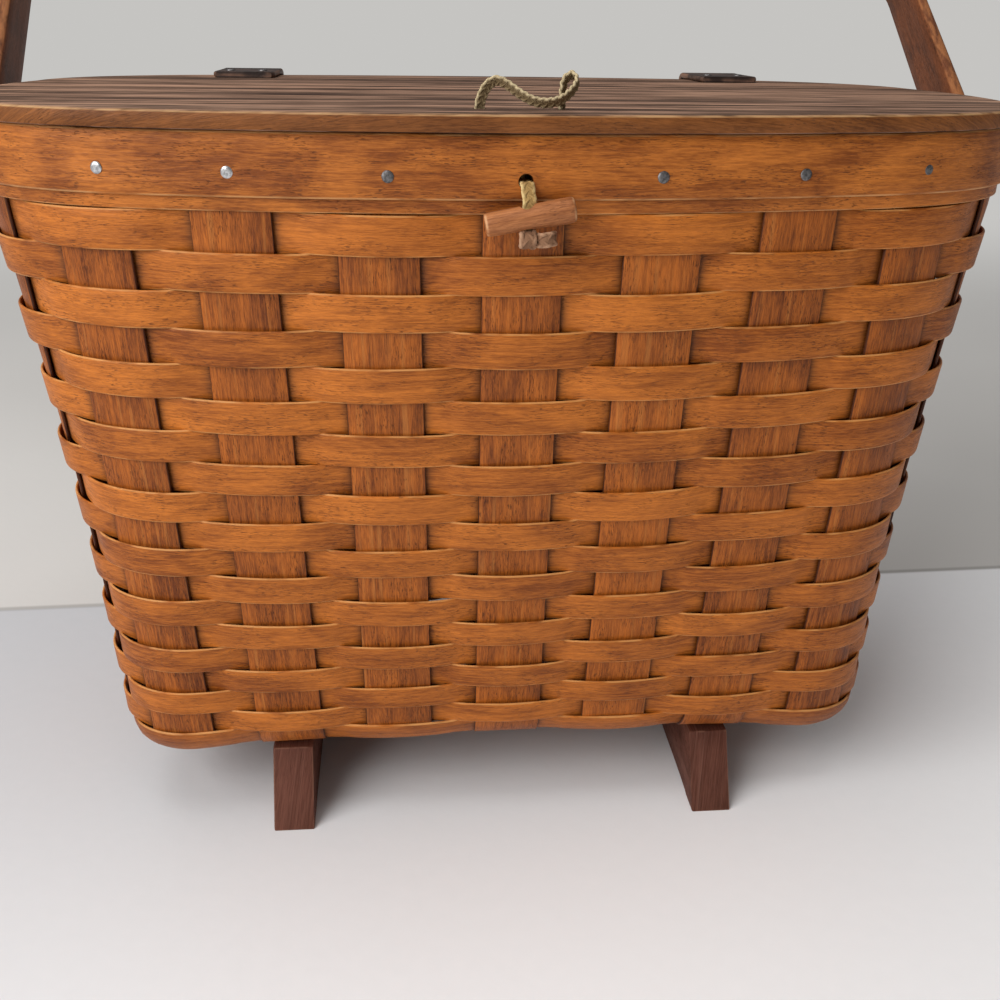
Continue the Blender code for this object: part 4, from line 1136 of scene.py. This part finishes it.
def runner_outline(reach, top):
    arch = reach - FOOT_PAD
    under = [(-arch * math.cos(a), ARCH_RISE * math.sin(a)) for a in np.linspace(0.0, math.pi, 25)]
    return [(-reach, 0.0), *under, (reach, 0.0), (reach - RAKE * top, top), (RAKE * top - reach, top)]


print("corners of a runner's outline:", len(runner_outline(0.1, 0.02)))

# %% [markdown]
# A board is cut from solid wood, so its grain is one pattern in space: planes that stand nearly
# upright in the raked ends and lie along the sides. The grain attribute gets those coordinates.
# A Bevel modifier would round the edges too, but bmesh also tells which faces are new, and
# those are marked as worn.

# %% Runners
RUNNER_PLACES = (("left", -0.1068), ("right", 0.1068))
RUNNER_BEVEL = 0.0008
GRAIN_SLANT = math.radians(9)


def runner(side, middle):
    low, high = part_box(f"runner_{side}")
    centre = (high[1] + low[1]) / 2
    shape = runner_outline((high[1] - low[1]) / 2, high[2])
    work = bmesh.new()
    ends = []
    for x in (low[0], high[0]):
        ends.append([work.verts.new((x, centre + y, z)) for y, z in shape])
        work.faces.new(ends[-1])
    for step in range(len(shape)):
        after = (step + 1) % len(shape)
        work.faces.new((ends[0][step], ends[0][after], ends[1][after], ends[1][step]))
    bmesh.ops.recalc_face_normals(work, faces=work.faces)
    sharp = [edge for edge in work.edges if edge.calc_face_angle(0.0) > 0.4]
    new = bmesh.ops.bevel(work, geom=sharp, offset=RUNNER_BEVEL, segments=2, profile=0.6, affect="EDGES")
    bevelled = set(new["faces"])
    work.verts.index_update()
    marks = {vertex.index: 0.0 for vertex in work.verts}
    for face in bevelled:
        for vertex in face.verts:
            marks[vertex.index] = max(marks[vertex.index], 0.55 if len(vertex.link_faces) > 3 else 0.4)
    inner = {v.index for v in work.verts if all(face in bevelled for face in v.link_faces)}
    points = [tuple(vertex.co) for vertex in work.verts]
    faces = [tuple(vertex.index for vertex in face.verts) for face in work.faces]
    work.free()
    number = 90.0 + middle * 20
    grain = [(y, x * math.cos(GRAIN_SLANT) - z * math.sin(GRAIN_SLANT), number) for x, y, z in points]
    wear_and_painted_light = [1.0 if i in inner else marks[i] * 0.5 for i in range(len(points))]
    build(f"runner_board_{side}", points, faces, grain, wear_and_painted_light, RUNNER, "basket",
          (f"runner_{side}",), 30)


for side, x in RUNNER_PLACES:
    runner(side, x)
print("runners made:", len(RUNNER_PLACES))

# %% [markdown]
# A cord is drawn from a few points of its route. A curve object could be bevelled along them,
# but a braid needs even steps and two directions that turn with the route and never twist, so
# both are worked out here: the route is rounded by a curve that passes through all its points,
# and the directions are carried on from each step to the next.

# %% A cord's route
def smooth_path(route, count):
    """Even steps along a smooth curve through the route, and the curve's length."""
    stops = [np.array(p, float) for p in route]
    stops = [2 * stops[0] - stops[1]] + stops + [2 * stops[-1] - stops[-2]]
    fine = []
    for a, b, c, d in zip(stops, stops[1:], stops[2:], stops[3:]):
        for t in np.linspace(0, 1, 14, endpoint=False):
            fine.append(0.5 * (2 * b + (c - a) * t + (2 * a - 5 * b + 4 * c - d) * t ** 2
                               + (3 * b - a - 3 * c + d) * t ** 3))
    fine.append(stops[-2])
    fine = np.array(fine)
    steps = distances(fine)
    wanted = np.linspace(0, steps[-1], count)
    return np.stack([np.interp(wanted, steps, fine[:, i]) for i in range(3)], axis=1), steps[-1]


def carried_frames(path, wide):
    """Two directions square to the path, carried along it without twisting."""
    run = unit(np.gradient(path, axis=0))
    sides = [unit(np.array(wide) - run[0] * np.dot(run[0], wide))]
    for way in run[1:]:
        sides.append(unit(sides[-1] - way * np.dot(sides[-1], way)))
    sides = np.array(sides)
    return sides, np.cross(run, sides)


print("cord helpers ready")

# %% [markdown]
# The cords are flat braids of five strands. A bump of a braid would leave a smooth outline, so
# the strands are real: each runs from edge to edge as a cosine, and its height is a sine four
# times as fast, so it passes over and under the other four in turn. The strands turn back at the
# edges, and those two rails are the palest part of the cord. A flat filling closes the gaps.

# %% Strands of a braid
STRANDS = 5
STRAND_SIDES = 8
PITCH_IN_WIDTHS = 2.9
STEPS_IN_PITCH = 26
TURN_BACK = 1.7


def strand_lines(path, one, two, turns, width, thick):
    """The filling and the strands: a line, half its width and half its thickness for each."""
    half_wide, half_thick = width * 0.15, thick * 0.30
    reach, rise = width / 2 - half_wide, thick / 2 - half_thick
    lines = [(path, width * 0.49, thick * 0.27)]
    for strand in range(STRANDS):
        angle = 2 * math.pi * (turns + strand / STRANDS)
        place = reach * np.tanh(TURN_BACK * np.cos(angle)) / math.tanh(TURN_BACK)
        height = 0.6 * rise * np.sin((STRANDS - 1) * angle)
        lines.append((path + one * place[:, None] + two * height[:, None], half_wide, half_thick))
    return lines


print("strands in a braid:", STRANDS)

# %% [markdown]
# A braid is built from one or more runs of cord. Round every line goes a small oval tube, and
# its second attribute grows towards the rails and the crowns, which the cotton finish paints pale
# as a highlight, leaving painted shade in the grooves.

# %% Flat braid
def braid(name, runs, material, body, replaced):
    """Each run is a route, a width, a thickness and the direction its width starts in."""
    points, faces, wear_and_painted_light, grain, found = [], [], [], [], []
    for route, width, thick, wide in runs:
        pitch = width * PITCH_IN_WIDTHS
        count = max(int(smooth_path(route, 10)[1] / pitch * STEPS_IN_PITCH), 16)
        path, total = smooth_path(route, count)
        one, two = carried_frames(path, wide)
        found.append((path, total))
        s = np.linspace(0, total, count)
        lines = strand_lines(path, one, two, s / pitch, width, thick)
        for number, (line, across, high) in enumerate(lines):
            base = len(points)
            for station in range(count):
                for side in range(STRAND_SIDES):
                    turn = 2 * math.pi * side / STRAND_SIDES
                    place = (line[station] + one[station] * (across * math.cos(turn))
                             + two[station] * (high * math.sin(turn)))
                    off = place - path[station]
                    rail = min(abs(np.dot(off, one[station])) / (width / 2), 1.0) ** 3
                    crown = min(abs(np.dot(off, two[station])) / (thick / 2), 1.0) ** 2
                    points.append(place)
                    # The rails and crowns get a high mark, painted pale as a highlight; the grooves between
                    # strands get a low one, painted dark as shade.
                    wear_and_painted_light.append(0.05 + 0.65 * rail + 0.30 * crown)
                    grain.append((s[station], turn * across, float(number)))
            faces += [tuple(base + i for i in face) for face in loop_faces(count, STRAND_SIDES, False)]
    return build(name, points, faces, grain, wear_and_painted_light, material, body, replaced, 80), *found[0]


print("braid builder ready")

# %% [markdown]
# The closing loop leaves the lid by one hole and comes back by the other, in a loose bow with a
# small curl at its right end.

# %% Closing loop
LOOP_ROUTE = (
    (-0.0158, 0.0000, -0.0030), (-0.0157, 0.0000, 0.0006), (-0.0148, 0.0002, 0.0044),
    (-0.0126, 0.0002, 0.0082), (-0.0092, -0.0006, 0.0100), (-0.0054, -0.0020, 0.0086),
    (-0.0008, -0.0042, 0.0056), (0.0042, -0.0064, 0.0032), (0.0096, -0.0074, 0.0026),
    (0.0148, -0.0066, 0.0038), (0.0192, -0.0042, 0.0070), (0.0212, -0.0010, 0.0102),
    (0.0198, 0.0012, 0.0122), (0.0170, 0.0012, 0.0104), (0.0160, 0.0002, 0.0060),
    (0.0158, 0.0000, 0.0010), (0.0158, 0.0000, -0.0030),
)
route = [np.array((x, HOLE_Y + y, LID_TOP + z)) for x, y, z in LOOP_ROUTE]
for end in (0, -1):
    route[end][2] = LID_LOW - 0.0003
loop_runs = [(route, 0.0044, 0.0022, (0.92, 0.38, 0.0))]
loop_piece, loop_path, loop_length = braid("closing_loop", loop_runs, TAN, "lid", ("loop_cord",))
print("loop length", round(float(loop_length), 4))

# %% [markdown]
# A real stopper knot hides most of itself, so it isn't tied here. It is drawn as the same flat
# braid in two turns: one folded over the end of the cord, one wrapped beside it. Their points
# are shares of the knot's three sizes, so that one pattern serves every knot.

# %% Stopper knots
X, Y, Z = (1, 0, 0), (0, 1, 0), (0, 0, 1)
FOLD = ((-0.27, -0.20, 0.38), (-0.27, 0.12, 0.34), (-0.27, 0.26, 0.02), (-0.27, 0.12, -0.30),
        (-0.26, -0.20, -0.34))
WRAP = ((-0.06, -0.15, -0.02), (0.06, 0.20, 0.0), (0.22, 0.27, 0.05), (0.37, 0.12, 0.08),
        (0.42, -0.16, 0.06))


def knot(name, centre, size, material, body, replaced, axes):
    """size is (long side, depth, height along the cord); axes are the three directions for them."""
    side, out, along = (np.array(axis, float) for axis in axes)
    long, deep, high = size

    def placed(turn):
        return [np.array(centre) + side * (u * long) + out * (v * deep) + along * (w * high)
                for u, v, w in turn]

    runs = [(placed(FOLD), long * 0.46, deep * 0.42, side), (placed(WRAP), high * 0.84, deep * 0.40, along)]
    braid(name, runs, material, body, replaced)


for side, x in (("left", -LOOP_HALF), ("right", LOOP_HALF)):
    low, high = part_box(f"loop_knot_{side}")
    knot(f"loop_stopper_{side}", (x, HOLE_Y, (low[2] + high[2]) / 2), (0.0092, 0.0088, 0.0062), TAN, "lid",
         (f"loop_knot_{side}",), (X, Y, Z))
print("knots below the lid: 2")

# %% [markdown]
# The toggle hangs in front: a short cord comes out of the rim's hole, bends down and holds a
# whittled peg above a last knot. The part inside the rim stays with the basket, and what hangs
# outside swings, so the cord is made in two pieces that meet at the hole's mouth.

# %% Toggle cord
CORD_SITS_LOW = 0.0008
KNOT_SITS_HIGH = 0.0007
peg_low, peg_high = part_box("toggle_peg")
peg_centre = np.array([(a + b) / 2 for a, b in zip(peg_low, peg_high)])
anchor_low, anchor_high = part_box("toggle_cord_anchor")
hole_z = (anchor_low[2] + anchor_high[2]) / 2 - CORD_SITS_LOW
anchor_middle = (anchor_high[1] + anchor_low[1]) / 2
inside_route = [(0.0, y, hole_z) for y in (anchor_high[1], anchor_middle, anchor_low[1])]
braid("toggle_cord_inside", [(inside_route, 0.0050, 0.0024, X)], STRAW, "basket",
      ("toggle_cord_anchor",))
low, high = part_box("toggle_anchor_knot")
knot("toggle_stopper", [(a + b) / 2 for a, b in zip(low, high)], (0.0092, 0.0088, 0.0060), STRAW, "basket",
     ("toggle_anchor_knot",), (X, Z, Y))
drop_low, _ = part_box("toggle_cord")
mouth = anchor_low[1] - 0.0018
drop_route = [(0.0003, mouth + 0.0020, hole_z + 0.0003), (0.0004, mouth + 0.0002, hole_z - 0.0004),
              (0.0006, mouth - 0.0011, hole_z - 0.0030),
              (0.0010, peg_centre[1] + 0.0006, peg_centre[2] + 0.0056),
              (0.0004, peg_centre[1], peg_centre[2]), (0.0, peg_centre[1], drop_low[2])]
braid("toggle_cord_drop", [(drop_route, 0.0054, 0.0022, X)], STRAW, "toggle", ("toggle_cord",))
knot_low, knot_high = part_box("toggle_knot")
knot_centre = [(a + b) / 2 for a, b in zip(knot_low, knot_high)]
knot_centre[2] += KNOT_SITS_HIGH
knot("toggle_stop_knot", knot_centre, (0.0146, 0.0080, 0.0068), KNOT, "toggle", ("toggle_knot",),
     (X, (0, -1, 0), Z))
print("toggle cord leaves its hole at z =", round(hole_z, 4))

# %% [markdown]
# The peg is whittled, not turned true. A plain tapered cylinder would look made by a machine,
# so its radius wavers a little, three shallow flats run along it, and its ends are cut and
# rubbed. It is pierced for the cord, like the lid and the rim.

# %% Toggle peg
PEG_TILT = math.radians(10.2)
PEG_RADIUS, PEG_TAPER = 0.00462, 3.2
PEG_SHIFT = 0.0012
PEG_SIDES = 28
PEG_HOLE_RADIUS = 0.0028
PEG_ENDS = ((-0.0170, 0.72), (-0.01685, 0.86), (-0.0164, 0.95), (-0.0155, 0.985)), (
    (0.0155, 0.99), (0.0164, 0.955), (0.01685, 0.87), (0.0170, 0.74))


def peg():
    along = np.array((math.cos(PEG_TILT), 0.0, math.sin(PEG_TILT)))
    side = np.array((0.0, 1.0, 0.0))
    up = np.cross(side, along)
    stations = [*PEG_ENDS[0], *((place, 1.0) for place in np.linspace(-0.0145, 0.0145, 22)), *PEG_ENDS[1]]
    rubbed = (1, 2, len(stations) - 2, len(stations) - 3)
    points, grain, wear_and_painted_light = [], [], []
    for number, (place, share) in enumerate(stations):
        for step in range(PEG_SIDES):
            turn = 2 * math.pi * step / PEG_SIDES
            rough = 1 + 0.035 * noise.noise(Vector((place * 90, math.cos(turn) * 1.3, math.sin(turn) * 1.3)))
            flat = 1 - 0.03 * max(math.cos(turn * 3 + 0.6), 0.0) ** 4
            radius = PEG_RADIUS * share * rough * flat * (1 + PEG_TAPER * place)
            spoke = side * radius * math.cos(turn) + up * radius * math.sin(turn)
            points.append(peg_centre + along * (place + PEG_SHIFT) + spoke)
            grain.append((place, turn * 0.0048, 95.0))
            wear_and_painted_light.append(0.8 if number in rubbed else 0.0)
    faces = loop_faces(len(stations), PEG_SIDES, False)
    piece = build("toggle_peg_turned", points, faces, grain, wear_and_painted_light, PEG, None, (), 60)
    cut_hole(piece, tuple(peg_centre), PEG_HOLE_RADIUS, 0.018, near=12)
    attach(piece, "toggle")
    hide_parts("toggle_peg")


peg()
print("peg made, radius at its middle", PEG_RADIUS)

# %% [markdown]
# Small round heads finish the work. A ball sunk into the wood would do from afar, but close up a
# nail's head is a low dome with a short straight edge, so five rings of points make it, set
# square to what the nail holds.

# %% A nail's head
HEAD_RINGS = ((1.0, 0.0), (1.0, 0.35), (0.9, 0.72), (0.62, 0.94), (0.25, 1.0))
HEAD_SIDES = 20


def head(name, place, direction, radius, height, material, body):
    way = Vector(direction).normalized()
    one = way.orthogonal().normalized()
    two = way.cross(one)
    points = []
    for share, rise in HEAD_RINGS:
        for step in range(HEAD_SIDES):
            turn = 2 * math.pi * step / HEAD_SIDES
            points.append(Vector(place) + one * (math.cos(turn) * radius * share)
                          + two * (math.sin(turn) * radius * share) + way * (height * rise))
    faces = loop_faces(len(HEAD_RINGS), HEAD_SIDES, False)
    build(name, points, faces, [(0, 0, 0)] * len(points), [0.0] * len(points), material, body, (), 40)


print("corners in a nail's head:", len(HEAD_RINGS) * HEAD_SIDES)

# %% [markdown]
# Six nails go through the rim in front, spaced by eye and not evenly, as a maker does it. The
# back isn't seen, so it repeats the front. The two at the front's left end are still bright.

# %% Rim nails
RIM_NAILS = ((-0.159, 0.3222), (-0.110, 0.3218), (-0.051, 0.3212), (0.052, 0.3212), (0.109, 0.3216),
             (0.163, 0.3222))


def rim_nails():
    face, outward, _ = outline(0.0049)
    number = 0
    for x, z in RIM_NAILS:
        for turn in (-1, 1):
            number += 1
            near = [i for i in range(len(face)) if (face[i, 1] - MIDDLE) * turn > 0.02]
            i = min(near, key=lambda k: abs(face[k, 0] - x))
            bright = turn < 0 and x < -0.1
            head(f"rim_nail_{number}", (x, face[i, 1], z), outward[i], 0.0023, 0.0007,
                 NAIL_BRIGHT if bright else NAIL_DARK, "basket")
    return number


print("rim nails:", rim_nails())

# %% [markdown]
# Two nails hold each strap on the lid, and two screws inside the basket hold each runner.

# %% Strap nails and runner screws
STRAP_NAIL_SPREAD, STRAP_NAIL_BACK = 0.009, 0.036
SCREW_X, SCREW_SPREAD = 0.1054, 0.0593
for side, x in STRAP_PLACES:
    for step in (-1, 1):
        place = (x + step * STRAP_NAIL_SPREAD, HINGE_Y - STRAP_NAIL_BACK, LID_TOP + STRAP_THICK + 0.0001)
        head(f"strap_nail_{side}_{step + 2}", place, Z, 0.0026, 0.0009, NAIL_DARK, "lid")
for side, x in (("left", -SCREW_X), ("right", SCREW_X)):
    for step in (-1, 1):
        place = (x, MIDDLE + step * SCREW_SPREAD, float(bottom_height(x)) + 0.0019)
        head(f"runner_screw_{side}_{step + 2}", place, Z, 0.0032, 0.0012, NAIL_DARK, "basket")
print("strap nails: 4, runner screws: 4")

# %% [markdown]
# The frame's own rivets and washers already have the right shape. A copy would only double
# them, so they keep their meshes and get a finish: tarnished metal and dark leather.

# %% Finish the frame's own pieces
for side in ("left", "right"):
    for node, material in ((f"handle_pin_{side}", NAIL_DARK), (f"handle_washer_{side}", LEATHER)):
        piece = frame["nodes"][node]
        for place in range(len(piece.material_slots)):
            piece.material_slots[place].material = material
print("frame pieces finished: 4")

# %% [markdown]
# The studio is a pale floor that meets a wall. A real wall would show its edges in other views,
# so floor and wall are one flat sheet: past a slanting line the floor's paint turns to the
# wall's, and far away it fades into a plain glow of the world's own colour. The floor is painted
# darker towards its left and its back as painted shade, and a painted soft shadow line runs
# where the two paints meet.

# %% Floor and wall
GLOW = (0.560, 0.552, 0.535)
FLOOR_REACH = 60.0


def floor():
    r = FLOOR_REACH
    mesh = bpy.data.meshes.new("studio_floor")
    mesh.from_pydata([(-r, -r, 0), (r, -r, 0), (r, r, 0), (-r, r, 0)], [], [(0, 1, 2, 3)])
    made = bpy.data.objects.new("studio_floor", mesh)
    bpy.context.scene.collection.objects.link(made)
    paint = Finish("floor_paint", 0.85, specular=0.1)
    place = paint.node("ShaderNodeTexCoord", None, None, 3)
    x, y, _ = paint.parts(place)
    speckle = paint.noise(place, 120.0, 3.0)
    slow = paint.noise(place, 3.0, 2.0)
    beyond = y - x * 0.0282 - 0.0716
    mottle = paint.mix(speckle * 0.4 + slow * 0.6, (0.93, 0.93, 0.93), (1.0, 1.0, 1.0))
    # Painted shade: the floor darkens towards its left and its back.
    tone = paint.mix((x - y).band(-0.45, 0.45), (0.56, 0.57, 0.595), (0.98, 0.985, 1.0))
    ground = paint.node("ShaderNodeMix", {"data_type": "RGBA", "blend_type": "MULTIPLY"},
                        {0: 1.0, 6: tone, 7: mottle}, output=2)
    stain = paint.noise(place, 1.3, 3.0)
    wall = paint.mix(stain.band(0.3, 0.7), (0.60, 0.585, 0.565), (0.68, 0.665, 0.645))
    # Painted shadow: a soft dark line where the floor's paint meets the wall's.
    seam_shadow = beyond.band(-0.003, 0.001) * (1 - beyond.band(0.002, 0.006)) * 0.45
    both_paints = paint.mix(beyond.band(-0.001, 0.001), ground, wall)
    paint.colour(paint.mix(seam_shadow, both_paints, (0.20, 0.19, 0.18)))
    paint.bump(speckle, 0.0004, 0.3)
    far, around = beyond.band(0.3, 1.6), (x * x + y * y) ** 0.5
    glow = paint.node("ShaderNodeEmission", None, {"Color": GLOW})
    share = far.apply("MAXIMUM", far, around.band(1.6, 4.0))
    painted = Sum(paint, paint.shader.outputs[0])
    both = paint.node("ShaderNodeMixShader", None, {0: share, 1: painted, 2: glow})
    paint.feed(paint.tree.nodes["Material Output"].inputs["Surface"], both)
    mesh.materials.append(paint.material)


floor()
print("floor laid, reach", FLOOR_REACH)

# %% [markdown]
# The world does two jobs. One strength for both would either flood the basket with light or
# leave a dark backdrop, so Light Path tells them apart: the camera sees the plain glow, and
# everything else gets a weak, nearly white light from all around.

# %% World
SKY_COLOUR, SKY_STRENGTH = (1.0, 0.995, 0.985, 1.0), 0.22


def world():
    made = bpy.data.worlds.new("studio")
    made.use_nodes = True
    tree = made.node_tree
    tree.nodes.clear()
    light = tree.nodes.new("ShaderNodeBackground")
    light.inputs["Color"].default_value = SKY_COLOUR
    light.inputs["Strength"].default_value = SKY_STRENGTH
    seen = tree.nodes.new("ShaderNodeBackground")
    seen.inputs["Color"].default_value = (*GLOW, 1.0)
    rays = tree.nodes.new("ShaderNodeLightPath")
    blend = tree.nodes.new("ShaderNodeMixShader")
    out = tree.nodes.new("ShaderNodeOutputWorld")
    tree.links.new(rays.outputs["Is Camera Ray"], blend.inputs[0])
    tree.links.new(light.outputs[0], blend.inputs[1])
    tree.links.new(seen.outputs[0], blend.inputs[2])
    tree.links.new(blend.outputs[0], out.inputs["Surface"])
    bpy.context.scene.world = made


world()
print("world's strength", SKY_STRENGTH)

# %% [markdown]
# Two wide soft lamps light the basket: the stronger one stands at the front left, as the
# shadows in the photograph tell, and the other hangs above. Wide lamps give soft edges to the
# shadows, where a point or a sun would draw hard ones.

# %% Lamps
LAMP_COLOUR = (1.0, 0.985, 0.97)


def lamp(name, place, target, size, power):
    data = bpy.data.lights.new(name, "AREA")
    data.shape = "RECTANGLE"
    data.size, data.size_y = size
    data.energy = power
    data.color = LAMP_COLOUR
    made = bpy.data.objects.new(name, data)
    made.location = place
    made.rotation_euler = (Vector(target) - Vector(place)).to_track_quat("-Z", "Y").to_euler()
    bpy.context.scene.collection.objects.link(made)


lamp("key", (-1.35, -1.15, 1.2), (0.0, MIDDLE, 0.2), (1.7, 1.4), 38.0)
lamp("top", (-0.3, 0.0, 2.0), (0.1, MIDDLE, 0.2), (1.8, 1.4), 16.0)
bpy.context.scene.view_settings.view_transform = "Standard"
print("lamps set:", len(bpy.data.lights))
